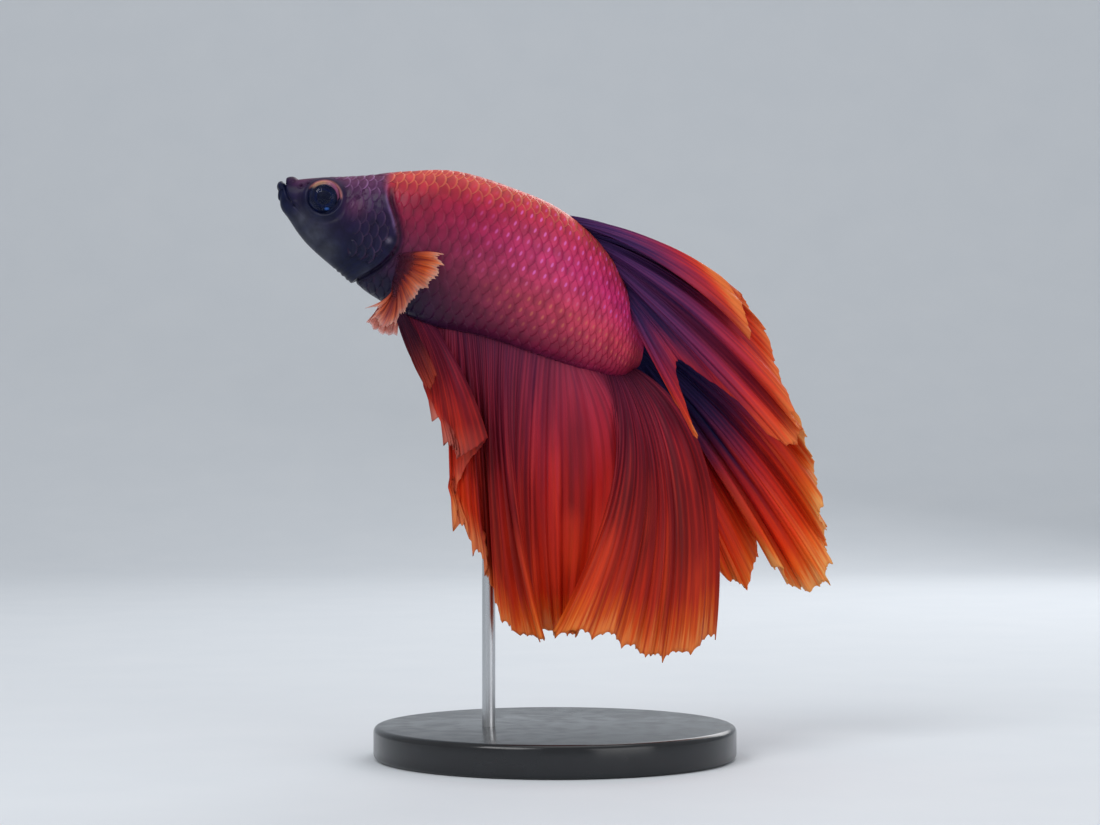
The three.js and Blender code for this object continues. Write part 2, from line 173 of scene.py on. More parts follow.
def settle(piece, material, slot, *nodes):
    # smooth faces in their material, then the piece takes its nodes' place on the one body
    piece.data.materials.append(material)
    pick(piece)
    bpy.ops.object.shade_smooth()
    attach(piece, "root")
    if nodes:
        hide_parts(*nodes)


def addNode(tree, kind, inputs=(), out=0, stops=None, **settings):
    # a node with its settings, links and colour stops; returns the output that is asked for
    node = tree.nodes.new("ShaderNode" + kind)
    for name, value in settings.items():
        setattr(node, name, value)
    for name, value in inputs.items() if isinstance(inputs, dict) else enumerate(inputs):
        if isinstance(value, bpy.types.NodeSocket):
            tree.links.new(value, node.inputs[name])
        else:
            node.inputs[name].default_value = linear(value) if isinstance(value, str) else value
    for i, (place, colour) in enumerate((stops or {}).items()):
        elements = node.color_ramp.elements
        stop = elements[i] if i < 2 else elements.new(place)
        stop.position = place
        stop.color = linear(colour)
    return node.outputs[out] if node.outputs else None


def amountOf(tree, *amounts):
    # the product of the amounts: each is a number, a node's output or the name of a stored value, or
    # one of these with a start and an end that it fades in between
    shares = []
    for amount in amounts:
        if isinstance(amount, tuple):
            amount = addNode(tree, "MapRange", (amountOf(tree, amount[0]), *amount[1:]),
                             interpolation_type="SMOOTHSTEP")
        elif isinstance(amount, str):
            amount = addNode(tree, "Attribute", out="Fac", attribute_name=amount)
        shares.append(amount)
    total = shares[0]
    for share in shares[1:]:
        total = addNode(tree, "Math", [total, share], operation="MULTIPLY")
    return total


def layOver(tree, colour, cover, *amounts):
    # the cover shows over the colour by the product of the amounts
    return addNode(tree, "Mix", {0: amountOf(tree, *amounts), 6: colour, 7: cover}, 2, data_type="RGBA")


def repeats(size):
    # a pattern's scale on Object coordinates, from its real size in millimetres
    return 1 / (size * mm)


def newMaterial(name):
    material = bpy.data.materials.new(name)
    material.use_nodes = True
    material.node_tree.nodes.clear()
    return material, material.node_tree


body = {
    # lips to tail root: the back's and the belly's [x, z], the middle's y, the half width
    "back": [[-32.9, 68.1], [-31.8, 68.8], [-28.3, 69.2], [-23.3, 69.4], [-17.8, 69.9], [-11.8, 69.9],
             [-5.3, 68.0], [0.5, 65.5], [5.4, 61.3], [8.4, 56.0], [10.2, 51.4]],
    "belly": [[-32.9, 66.3], [-32.3, 64.6], [-29.8, 61.0], [-25.2, 57.1], [-20.6, 54.0], [-15.1, 51.3],
              [-8.9, 50.0], [-1.9, 47.7], [3.7, 45.9], [7.5, 45.1], [10.0, 46.2]],
    "bend": [0, 0, 0, 0, 0, 0, 0.4, 2.0, 5.4, 9.6, 13.4],
    "halfWidth": [1.0, 1.8, 3.2, 4.4, 5.0, 5.3, 5.1, 4.4, 3.4, 2.4, 1.2],
    "keel": 0.13,  # how much narrower the belly is than the back
    "roundness": 0.92,  # of the section, 1 for an ellipse
    "skinDepth": 0.13,  # the skin lies this far inside the coat's outside
    "lipCap": 0.03,  # the share of t that rounds off each end
    "tailCap": 0.02,
    "lipTip": [-0.3, 0, -0.1],  # how far each rounded end stands out
    "tailTip": [0.5, 1.1, -0.2],
}


def sideCurve(key, t):
    flat = smoothPath(body[key], t)
    bend = smoothValue(body["bend"], t)
    return np.stack([flat[..., 0], bend, flat[..., 1]], axis=-1)


def bodyFrame(t):
    def middle(at):
        return (sideCurve("back", at) + sideCurve("belly", at)) / 2

    step = 1e-3
    up = (sideCurve("back", t) - sideCurve("belly", t)) / 2
    ahead = middle(np.minimum(t + step, 1)) - middle(np.maximum(t - step, 0))
    return middle(t), up, unit(np.cross(ahead, up))


def bodyPoint(t, angle, grow=0.0):
    # t runs from the lips (0) to the tail root (1); angle from the left side (0) over the back
    inside = np.clip(t, 0, 1)
    centre, up, left = bodyFrame(inside)
    keel = 1 - body["keel"] * (1 - np.sin(angle))
    flat = np.sign(np.cos(angle)) * np.abs(np.cos(angle)) ** body["roundness"]
    half = np.maximum(smoothValue(body["halfWidth"], inside) + grow, 0.2) * keel
    tall = np.maximum(1 + grow / np.linalg.norm(up, axis=-1), 0.2)
    ring = left * (half * flat)[..., None] + up * (np.sin(angle) * tall)[..., None]
    front = np.clip(-t / body["lipCap"], 0, 1) * math.pi / 2
    rear = np.clip((t - 1) / body["tailCap"], 0, 1) * math.pi / 2
    shrink = np.cos(front) * np.cos(rear)
    tip = np.sin(front)[..., None] * body["lipTip"] + np.sin(rear)[..., None] * body["tailTip"]
    return centre + ring * shrink[..., None] + tip


def bodyNormal(t, angle):
    step = 2e-3
    alongT = bodyPoint(t + step, angle) - bodyPoint(t - step, angle)
    alongAngle = bodyPoint(t, angle + step) - bodyPoint(t, angle - step)
    return unit(np.cross(alongT, alongAngle))


head = {
    "eye": [-27.5, 66.5],
    # round the eye: distance from its middle, width and height of the rim and of the fold below it
    "socket": [2.02, 1.8, -0.5],  # where its wall starts and ends, and its floor
    "eyeRim": [2.28, 0.22, 0.09],
    "eyeFold": [2.85, 0.35, -0.12],
    "upperLip": {"radii": [0.85, 1.35, 0.6], "centre": [-31.6, 0, 68.6]},
    "lowerLip": {"radii": [0.5, 1.3, 0.65], "centre": [-32.85, 0, 68.0]},
    # the cheek muscle and the chin: x, z, how much z counts, radius and height
    "swellings": [[-26.6, 62.9, 1, 1.7, 0.16], [-32.9, 65.5, 0.8, 1.0, 0.24]],
    # the mouth, the maxilla and the preopercle: a line, then the grooves and ridges beside it, each
    # with its distance from the line, its width, and its height at the line's start and end
    "creases": [
        ([[-32.4, 69.4], [-32.35, 67.9], [-31.9, 66.6], [-31.2, 65.6]], [(0, 0.11, -0.42, -0.2)]),
        ([[-31.2, 65.6], [-29.6, 63.8], [-28.7, 62.4]], [(0, 0.16, -0.13, -0.039), (0.4, 0.25, 0.07, 0)]),
        ([[-22.6, 67.2], [-24.4, 65.6], [-25.1, 63.2], [-25.0, 61.2], [-24.5, 59.8]],
         [(0, 0.16, -0.11, -0.11), (-0.4, 0.35, 0.07, 0.07)]),
    ],
    "nostrils": [[-30.35, 68.0, 0.2], [-29.5, 68.25, 0.16]],  # x, z, radius
    "nostrilRim": 0.07,
    "nostrilDepth": 0.3,
}
gill = {
    "edge": [[-19.2, 72], [-19.8, 67], [-18.9, 63.4], [-18.8, 60.8], [-21, 58.4], [-24.6, 56.4], [-26, 55]],
    "plate": 0.26,  # how far the cover stands out at its edge
    "plateReach": 1.5,  # ahead of the edge, where that has gone down by two thirds
    "slit": [0.16, 0.22, 0.34],  # distance behind the edge, width and depth
    "hollow": [0.7, 0.7, 0.12],
    "throatFold": 0.07,  # the folded membrane below
    "throatPitch": 0.68,
    "rib": 0.014,  # the cover's fine rays, which fan out from ribCentre
    "ribCentre": [-24.8, 66.8],
    "ribCount": 34,
}
gillLine = smoothPath(gill["edge"], np.linspace(0, 1, 60))


def swellTo(points, normals, lip):
    # moves points inside a lip's ellipsoid outwards to its surface
    radii, centre = np.array(lip["radii"]), np.array(lip["centre"])
    ahead, apart = normals / radii, (points - centre) / radii
    a = (ahead * ahead).sum(-1)
    b = (ahead * apart).sum(-1)
    c = (apart * apart).sum(-1) - 1
    reach = np.where(c < 0, (-b + np.sqrt(np.maximum(b * b - a * c, 0))) / a, 0)
    return points + normals * reach[..., None]


def eyeRange(x, z):
    return np.hypot(x - head["eye"][0], z - head["eye"][1])


def gillRange(x, z):
    # millimetres behind the gill opening, negative on the head
    return lineRange(x, z, gillLine)[0]


def gillRelief(x, z):
    behind = gillRange(x, z)
    slitAt, slitWidth, slitDepth = gill["slit"]
    hollowAt, hollowWidth, hollowDepth = gill["hollow"]
    plate = gill["plate"] * np.exp(np.minimum(behind, 0) / gill["plateReach"]) * fade(behind, 0.1, -0.04)
    slit = slitDepth * hump(behind, slitAt, slitWidth) * fade(behind, -0.02, 0.06)
    hollow = hollowDepth * hump(behind, hollowAt, hollowWidth) * fade(behind, 0, 0.3)
    throat = fade(z, 60.6, 59.2) * fade(behind, -3.0, -2.2) * fade(behind, -0.1, -0.5)
    folds = gill["throatFold"] * np.cos(behind * 2 * math.pi / gill["throatPitch"]) * throat
    fan = np.arctan2(z - gill["ribCentre"][1], x - gill["ribCentre"][0])
    ribs = gill["rib"] * np.cos(fan * gill["ribCount"]) * fade(behind, -4.5, -3.0)
    ribs = ribs * fade(behind, -0.3, -0.9) * fade(z, 60, 61.5)
    return (plate - slit - hollow) * fade(z, 68.2, 66.0) + folds + ribs


def relief(points, height):
    # how far the skin stands out from the plain body
    x, z = points[..., 0], points[..., 2]
    side = fade(height, 0.97, 0.8)  # 0 on the crown's middle line
    fromEye = eyeRange(x, z)
    wallStart, wallEnd, floor = head["socket"]
    rimAt, rimWidth, rimHeight = head["eyeRim"]
    foldAt, foldWidth, foldHeight = head["eyeFold"]
    out = floor * fade(fromEye, wallStart, wallEnd) + rimHeight * hump(fromEye, rimAt, rimWidth)
    out = out + foldHeight * hump(fromEye, foldAt, foldWidth) * fade(z, 67.6, 66.4)
    for middleX, middleZ, squash, radius, rise in head["swellings"]:
        out = out + rise * hump(np.hypot(x - middleX, squash * (z - middleZ)), 0, radius)
    for line, grooves in head["creases"]:
        apart, share = lineRange(x, z, line)
        for offset, width, first, last in grooves:
            out = out + (first + (last - first) * share) * hump(apart, offset, width)
    for pitX, pitZ, radius in head["nostrils"]:
        pit = np.hypot(x - pitX, z - pitZ) / radius
        rim = head["nostrilRim"] * hump(pit, 1.5, 0.5)
        out = out + (rim - head["nostrilDepth"] * fade(pit, 1.1, 0.5)) * side
    return out + gillRelief(x, z)


def skinPoint(t, angle, lift=0.0):
    normals = bodyNormal(t, angle)
    points = bodyPoint(t, angle, -body["skinDepth"])
    points = swellTo(points, normals, head["upperLip"])
    points = swellTo(points, normals, head["lowerLip"])
    out = relief(points, np.sin(angle)) * fade(t, 0.5, 0.45) + lift
    return points + normals * out[..., None]


# the markings, the same on skin and scales: soft round patches on the head, each with x, z and radius,
# then the colours that are laid on, and how strongly
markingSpots = {
    "cheekPatch": [[-23.6, 65.5, 1.2]],
    "greySheen": [[-30.2, 63.9, 1.2], [-28.8, 62.1, 1.8], [-27.2, 60.3, 1.4], [-22.1, 57.0, 1.2]],
    # the first dark spot is a small mark on the gill cover; the others are painted shadow under the cover's
    # lower edge
    "darkMarkAndShadow": [[-21.3, 63.4, 0.42], [-18.8, 60.4, 1.0], [-21.6, 58.0, 0.7], [-24.2, 60.0, 1.3],
                 [-22.4, 59.4, 1.2]],
    "paleSpot": [[-19.7, 61.3, 0.3]],
}
# the arc over the eye and the rim along the gill cover are painted highlights
markingLayers = {
    "nearEye": ("#081030", 0.85), "cheekPatch": ("#5a2a50", 0.8), "greySheen": ("#4a4c56", 0.55),
    "darkMarkAndShadow": ("#10122c", 0.8), "lidArc": ("#c07a78", 0.8), "gillRim": ("#8a6a9c", 0.5),
    "paleSpot": ("#a49ab0", 0.4),
}
bodyColours = {
    # up the flank, belly to back: behind the gills, at the tail root and on the head; on the flank the dark
    # belly end is partly the fish's colour and partly painted shade
    "front": {0: "#14122c", 0.16: "#191230", 0.3: "#381636", 0.47: "#68203e", 0.77: "#8e1636",
              0.9: "#b02e3a", 1: "#ca4640"},
    "rear": {0: "#6a183e", 0.06: "#8e1e3e", 0.32: "#dc4660", 0.63: "#dc3678", 0.88: "#cc3858",
             1: "#d64a48"},
    "head": {0: "#0c122c", 0.2: "#0e1230", 0.5: "#1c1434", 0.75: "#2c163c", 0.92: "#582c52",
             1: "#6c3454"},
    "snout": "#081030",
    "gillShade": "#140f2a",
}


def keepMarkings(piece, points, t, angle):
    x, z = points[..., 0], points[..., 2]
    behind = gillRange(x, z)
    nape = fade(z, 65.5, 68.5)
    keepValues(
        piece, along=t, height=(np.sin(angle) + 1) / 2,
        onTrunk=fade(behind, -0.2 - 0.8 * nape, 0.25 + 0.4 * nape),
        gillShade=hump(behind, 0.3, 0.5) * fade(behind, -0.15, 0.05) * fade(z, 68.6, 66.4),
        # painted highlight along the gill cover's rim, just ahead of its edge
        gillRim=hump(behind, -0.2, 0.17) * fade(z, 61.6, 63.4) * fade(z, 69, 68),
        nearEye=fade(eyeRange(x, z), 3.6, 2.1),
        # painted highlight on the upper rim over the eye, where the light from above falls
        lidArc=hump(eyeRange(x, z), 2.06, 0.13) * fade(z + 0.35 * x, 57.2, 57.8))
    for name, spots in markingSpots.items():
        patches = [hump(np.hypot(x - spotX, z - spotZ), 0, radius) for spotX, spotZ, radius in spots]
        keepValues(piece, **{name: np.max(patches, axis=0) * fade(t, 0.5, 0.46)})  # none on the trunk


def markedColour(tree):
    height = amountOf(tree, "height")
    front, rear, crown = (addNode(tree, "ValToRGB", [height], stops=bodyColours[key])
                          for key in ("front", "rear", "head"))
    trunk = layOver(tree, front, rear, ("along", 0.42, 0.86))
    colour = layOver(tree, crown, bodyColours["snout"], ("along", 0.2, 0.06))
    for name, (cover, share) in markingLayers.items():
        colour = layOver(tree, colour, cover, name, share)
    colour = layOver(tree, colour, trunk, "onTrunk")
    return layOver(tree, colour, bodyColours["gillShade"], "gillShade", 0.85)


skin = {
    "sides": 300, "headRings": 150, "bodyRings": 130, "headEnd": 0.4,
    "poreSize": 0.22, "poreDepth": 0.03,
    "blotchSize": 1.1111,  # of uneven pigment
    "roughness": 0.38, "sheen": 0.13, "wetFilm": 0.03, "filmRoughness": 0.12,
}
skinRings = skin["headRings"] + skin["bodyRings"]
# t at the mesh's own share of the way from lips to tail: the rings are closer together on the head
ringShares = [0, skin["headRings"] / skinRings, 1]
ringPlaces = [-body["lipCap"], skin["headEnd"], 1 + body["tailCap"]]


def makeSkinMaterial():
    # bare fish skin: smooth and wet, a soft gloss over uneven pigment and fine pores
    material, tree = newMaterial("wet fish skin")
    place = addNode(tree, "TexCoord", out="Object")
    blotches = addNode(tree, "TexNoise", {"Vector": place, "Scale": repeats(skin["blotchSize"]), "Detail": 4})
    pores = addNode(tree, "TexNoise", {"Vector": place, "Scale": repeats(skin["poreSize"]), "Detail": 2})
    uneven = amountOf(tree, (blotches, 0.3, 0.75, 0.72, 1.25))
    colour = addNode(tree, "Mix", {0: 1.0, 6: markedColour(tree), 7: uneven}, 2, data_type="RGBA",
                     blend_type="MULTIPLY")
    bump = addNode(tree, "Bump", {"Strength": 0.35, "Distance": skin["poreDepth"] * mm, "Height": pores})
    shader = addNode(tree, "BsdfPrincipled", {
        "Base Color": colour, "Roughness": skin["roughness"], "Specular IOR Level": skin["sheen"],
        "Coat Weight": skin["wetFilm"], "Coat Roughness": skin["filmRoughness"], "Normal": bump})
    addNode(tree, "OutputMaterial", [shader])
    return material


def makeSkin():
    piece, u, v = gridPiece("skin", skin["sides"], skinRings)
    t = np.interp(v, ringShares, ringPlaces)
    angle = -math.pi / 2 + 2 * math.pi * u  # the seam runs along the belly
    points = skinPoint(t, angle)
    for pole in (v < 1e-6, v > 1 - 1e-6):
        points[pole] = points[pole].mean(0)  # the ends close in single points
    setPlaces(piece, toWorld(points))
    keepMarkings(piece, points, t, angle)
    closeSeams(piece, 0.002)
    settle(piece, makeSkinMaterial(), "head_skin", "head", "lower_jaw", "gill_cover_left", "gill_cover_right",
           "trunk", "tail")
    print("skin", len(piece.data.polygons), "faces")


scale = {
    "pitch": 1.27,  # along the body, from one scale to the next
    "row": 1.68,  # from one row to the next
    "rows": 9,  # above and below the flank's middle
    "length": 2.05,  # of one scale, most of it under the scale in front
    "halfWidth": 1.36,
    "thickness": 0.03,
    "lift": 0.08,  # of the free edge over the skin
    "headLift": 0.055,
    "buried": 0.09,  # how deep the root of a head scale lies in the skin
    "doming": 0.25,
    "cornerDrop": 0.36,
    "sunk": 0.9,  # how deep a scale goes where the gill cover hides it
    "smallest": 0.45,  # against a full one
    "headSize": 0.92,
    "across": 8,  # faces
    "down": 6,
    "patch": 0.003,  # of each scale on the bake map
    "seed": 7,
    # the metallic spot: a little stroke across the middle of what shows, down the scale and across
    "spotAt": (0.74, 0, 0), "spotSize": (0.075, 0.26, 1), "spotLean": -0.18,
    "violetSpot": "#dc64b4", "brownSpot": "#d8825e",
    "net": "#3a1030", "netShare": 0.25,  # where a scale goes under the one in front
    "backRim": "#f08460", "headRim": "#9a6a9c",
    "ringCount": 14.3, "ringDepth": 0.01,  # growth rings, drawn coarse enough to show
    "blotchSize": 1.4286,  # of uneven pigment
    "roughness": 0.34, "sheen": 0.17, "wetFilm": 0.03, "filmRoughness": 0.1,
}


def arcTables():
    # for many places along the body: angle against the arc length from the flank's middle
    spots = np.linspace(0, 1, 201)
    angles = np.linspace(-math.pi / 2, math.pi / 2, 121)
    t, angle = np.meshgrid(spots, angles, indexing="ij")
    steps = np.linalg.norm(np.diff(bodyPoint(t, angle), axis=1), axis=-1)
    arcs = np.concatenate([np.zeros((len(spots), 1)), np.cumsum(steps, axis=1)], axis=1)
    arcs -= arcs[:, [len(angles) // 2]]
    steps = np.linalg.norm(np.diff(bodyFrame(spots)[0], axis=0), axis=1)
    return spots, angles, arcs, np.concatenate([[0], np.cumsum(steps)])


def scalePlaces(spots, angles, arcs, length):
    # where each scale stands: t, arc from the flank's middle, side, and its size against a full one
    depth = arcs[:, -1] - arcs[:, 0]
    size = np.maximum((depth / depth.max()) ** 0.55, scale["smallest"])
    count = np.concatenate([[0], np.cumsum(np.diff(length) / (scale["pitch"] * size[1:]))])
    places = []
    for side in (1, -1):
        for row in range(-scale["rows"], scale["rows"] + 1):
            first = 0.5 * (row % 2) + (0.25 if side < 0 else 0)
            for column in np.arange(first, count[-1] - 0.3, 1.0):
                t = np.interp(column, count, spots)
                here = np.interp(t, spots, size)
                arc = row * scale["row"] * here
                low, high = np.interp(t, spots, arcs[:, 0]), np.interp(t, spots, arcs[:, -1])
                if low - 0.2 < arc < high + 0.35 * scale["row"] * here:
                    places.append((t, arc, side, here))
    return np.array(places).T


def angleAt(tables, t, arc):
    # the angle on the left side at an arc length above the flank's middle
    spots, angles, arcs, _ = tables
    place = np.clip(t, 0, 1) * (len(spots) - 1)
    low = np.minimum(place.astype(int), len(spots) - 2)
    out = np.empty(np.shape(t))
    for i, (index, share, target) in enumerate(zip(low.flat, (place - low).flat, np.ravel(arc))):
        line = arcs[index] * (1 - share) + arcs[index + 1] * share
        over = max(target - line[-1], 0) + min(target - line[0], 0)
        out.flat[i] = np.interp(target, line, angles) + over * 0.35  # a scale may lap over the back's ridge
    return out


def headScale(x, z, angle):
    # whether the head carries a scale here: crown, nape, cheek and gill cover, clear of eye and jaw
    crown = (np.sin(angle) > 0.55) & (x > -27.4) & (eyeRange(x, z) > 2.75)
    cheek = (x > -24.6) & (z > 60.2 - 0.45 * (x + 24.6)) & (eyeRange(x, z) > 2.9)
    return (crown | cheek) & (gillRange(x, z) < -0.75)


def makeScaleMaterial():
    # fish scales: thin clear plates over red pigment, with a metallic spot in each and a pale rim
    material, tree = newMaterial("overlapping fish scales")
    along, height, down, across, chance, onTrunk = (
        amountOf(tree, name) for name in ("along", "height", "down", "across", "chance", "onTrunk"))
    place = addNode(tree, "TexCoord", out="Object")
    blotchScale = repeats(scale["blotchSize"])
    blotches = addNode(tree, "TexNoise", {"Vector": place, "Scale": blotchScale, "Detail": 3})
    each = addNode(tree, "Math", [chance, 0.16, 0.92], operation="MULTIPLY_ADD")
    uneven = amountOf(tree, (blotches, 0.25, 0.8, 0.8, 1.2), each)
    colour = addNode(tree, "Mix", {0: 1.0, 6: markedColour(tree), 7: uneven}, 2, data_type="RGBA",
                     blend_type="MULTIPLY")
    colour = layOver(tree, colour, scale["net"], (down, 0.62, 0.4), scale["netShare"])
    # the metallic spot, violet on the rear flank and brown below it
    lean = addNode(tree, "Math", [across, scale["spotLean"], down], operation="MULTIPLY_ADD")
    spot = addNode(tree, "CombineXYZ", [lean, across])
    spot = addNode(tree, "VectorMath", [spot, scale["spotAt"]], operation="SUBTRACT")
    spot = addNode(tree, "VectorMath", [spot, scale["spotSize"]], operation="DIVIDE")
    spot = amountOf(tree, (addNode(tree, "VectorMath", [spot], "Value", operation="LENGTH"), 1.25, 0.45))
    colour = layOver(tree, colour, scale["violetSpot"], spot, (along, 0.5, 0.66), (height, 0.34, 0.5),
                     (height, 0.97, 0.88), (chance, 0.0, 0.6, 0.2, 0.9))
    colour = layOver(tree, colour, scale["brownSpot"], spot, (along, 0.55, 0.7), (height, 0.46, 0.36),
                     (height, 0.1, 0.2), 0.45)
    # orange rims along the back, lilac ones on the head
    colour = layOver(tree, colour, scale["backRim"], (down, 0.84, 0.95), (height, 0.8, 0.95), onTrunk, 0.6)
    onHead = addNode(tree, "Math", [1.0, onTrunk], operation="SUBTRACT")
    colour = layOver(tree, colour, scale["headRim"], (down, 0.8, 0.95), onHead,
                     (height, 0.74, 0.94, 0.08, 0.65), (blotches, 0.35, 0.6, 0.35, 1.2))
    rings = addNode(tree, "Math", [amountOf(tree, down, 2 * math.pi * scale["ringCount"])], operation="SINE")
    bump = addNode(tree, "Bump", {"Strength": 0.15, "Distance": scale["ringDepth"] * mm, "Height": rings})
    shader = addNode(tree, "BsdfPrincipled", {
        "Base Color": colour, "Roughness": scale["roughness"], "Specular IOR Level": scale["sheen"],
        "Coat Weight": scale["wetFilm"], "Coat Roughness": scale["filmRoughness"], "Normal": bump})
    addNode(tree, "OutputMaterial", [shader])
    return material


def makeScales():
    tables = arcTables()
    t, arc, side, size = scalePlaces(*tables)
    chance = np.random.default_rng(scale["seed"]).random(len(t))
    angle = angleAt(tables, t, arc)
    root = bodyPoint(t, np.where(side > 0, angle, math.pi - angle))
    behind = gillRange(root[:, 0], root[:, 2])
    nape = (np.sin(angle) > 0.8) & (behind > -1.2)
    onTrunk = ((behind > -0.8) | nape) & (t < 0.985)
    keep = onTrunk | headScale(root[:, 0], root[:, 2], angle)
    t, arc, side, size, chance, angle, nape, onTrunk = (
        values[keep][:, None, None] for values in (t, arc, side, size, chance, angle, nape, onTrunk))
    lift = scale["lift"] * (0.45 + 0.55 * fade(np.sin(angle), -0.9, -0.1))
    lift = np.where(onTrunk, lift, scale["headLift"])
    size = np.where(onTrunk, size, size * scale["headSize"])
    # one scale's own grid: down runs from root to free edge, across from -1 to 1
    down, across = np.meshgrid(np.linspace(0, 1, scale["down"] + 1), np.linspace(-1, 1, scale["across"] + 1),
                               indexing="ij")
    spots, _, _, length = tables
    perT = np.interp(t, spots[:-1], np.diff(length) / np.diff(spots))
    reach = (down * (1 - scale["cornerDrop"] * np.abs(across) ** 2.4) - 0.4) * scale["length"]
    narrow = 0.72 + 0.28 * np.sin(np.clip(down * 1.25, 0, 1) * math.pi / 2)
    ownT = np.clip(t + reach * size / perT, 0.02, 1.0)
    ownAngle = angleAt(tables, ownT, arc + across * narrow * scale["halfWidth"] * size)
    ownAngle = np.where(side > 0, ownAngle, math.pi - ownAngle)
    buried = np.where(onTrunk, 0.0, scale["buried"]) * (1 - down)  # head scales grow out of the skin
    rise = (0.01 + lift * down * (1 - scale["doming"] * across ** 2) - buried) * np.sqrt(size)
    place = bodyPoint(ownT, ownAngle)  # the first scales of the trunk come out from under the gill cover
    past = gillRange(place[..., 0], place[..., 2])
    free = np.where(onTrunk & ~nape, fade(past, 0.35, 0.7), 1)
    free = np.where(onTrunk | (place[..., 2] > 68), free, fade(past, -0.4, -0.8))
    rise = rise * free - scale["sunk"] * (1 - free)
    points = skinPoint(ownT, ownAngle, rise)
    # each scale is a small patch at its root's place on the skin's own unwrap
    rootAngle = np.where(side > 0, angle, math.pi - angle)
    u = (rootAngle + math.pi / 2) / (2 * math.pi) + across * scale["patch"] / 2
    v = np.interp(t, ringPlaces, ringShares) + (down - 0.5) * scale["patch"]
    uvs = np.stack([u, v], axis=-1)
    material = makeScaleMaterial()
    values = np.broadcast_arrays(ownT, ownAngle, down, across, chance)
    for name, chosen in (("scales_left", side > 0), ("scales_right", side < 0)):
        chosen = chosen.ravel()
        buildScales(name, points[chosen], uvs[chosen], material, *(value[chosen] for value in values))


def joinUndersides(piece, topFaces):
    # the hidden underside of each scale becomes one face
    under = np.zeros(len(piece.data.polygons), bool)
    under[topFaces:2 * topFaces] = True
    pick(piece)
    bpy.ops.object.mode_set(mode="EDIT")
    bpy.ops.mesh.select_mode(type="FACE")
    bpy.ops.mesh.select_all(action="DESELECT")
    bpy.ops.object.mode_set(mode="OBJECT")
    piece.data.polygons.foreach_set("select", under)
    bpy.ops.object.mode_set(mode="EDIT")
    bpy.ops.mesh.dissolve_faces()
    bpy.ops.mesh.select_mode(type="VERT")
    bpy.ops.object.mode_set(mode="OBJECT")


def buildScales(name, points, uvs, material, t, angle, down, across, chance):
    count, rows, columns = points.shape[:3]
    index = np.arange(rows * columns).reshape(rows, columns)
    quads = np.stack([index[:-1, :-1], index[:-1, 1:], index[1:, 1:], index[1:, :-1]], axis=-1).reshape(-1, 4)
    faces = (quads[None] + (np.arange(count) * rows * columns)[:, None, None]).reshape(-1, 4)
    if name == "scales_left":
        faces = faces[:, ::-1]
    piece = meshPiece(name, points.reshape(-1, 3), [], faces.tolist())
    keepMarkings(piece, points.reshape(-1, 3), t.ravel(), angle.ravel())
    keepValues(piece, down=down, across=across, chance=chance)
    layer = piece.data.uv_layers.new(name="OFBake")
    corners = np.empty(len(piece.data.loops), np.int32)
    piece.data.loops.foreach_get("vertex_index", corners)
    layer.data.foreach_set("uv", uvs.reshape(-1, 2)[corners].astype(np.float32).ravel())
    applyModifier(piece, "SOLIDIFY", thickness=scale["thickness"] * mm, offset=-1)
    joinUndersides(piece, len(faces))
    settle(piece, material, "scaled_skin")
    print(name, count, "scales,", len(piece.data.polygons), "faces")


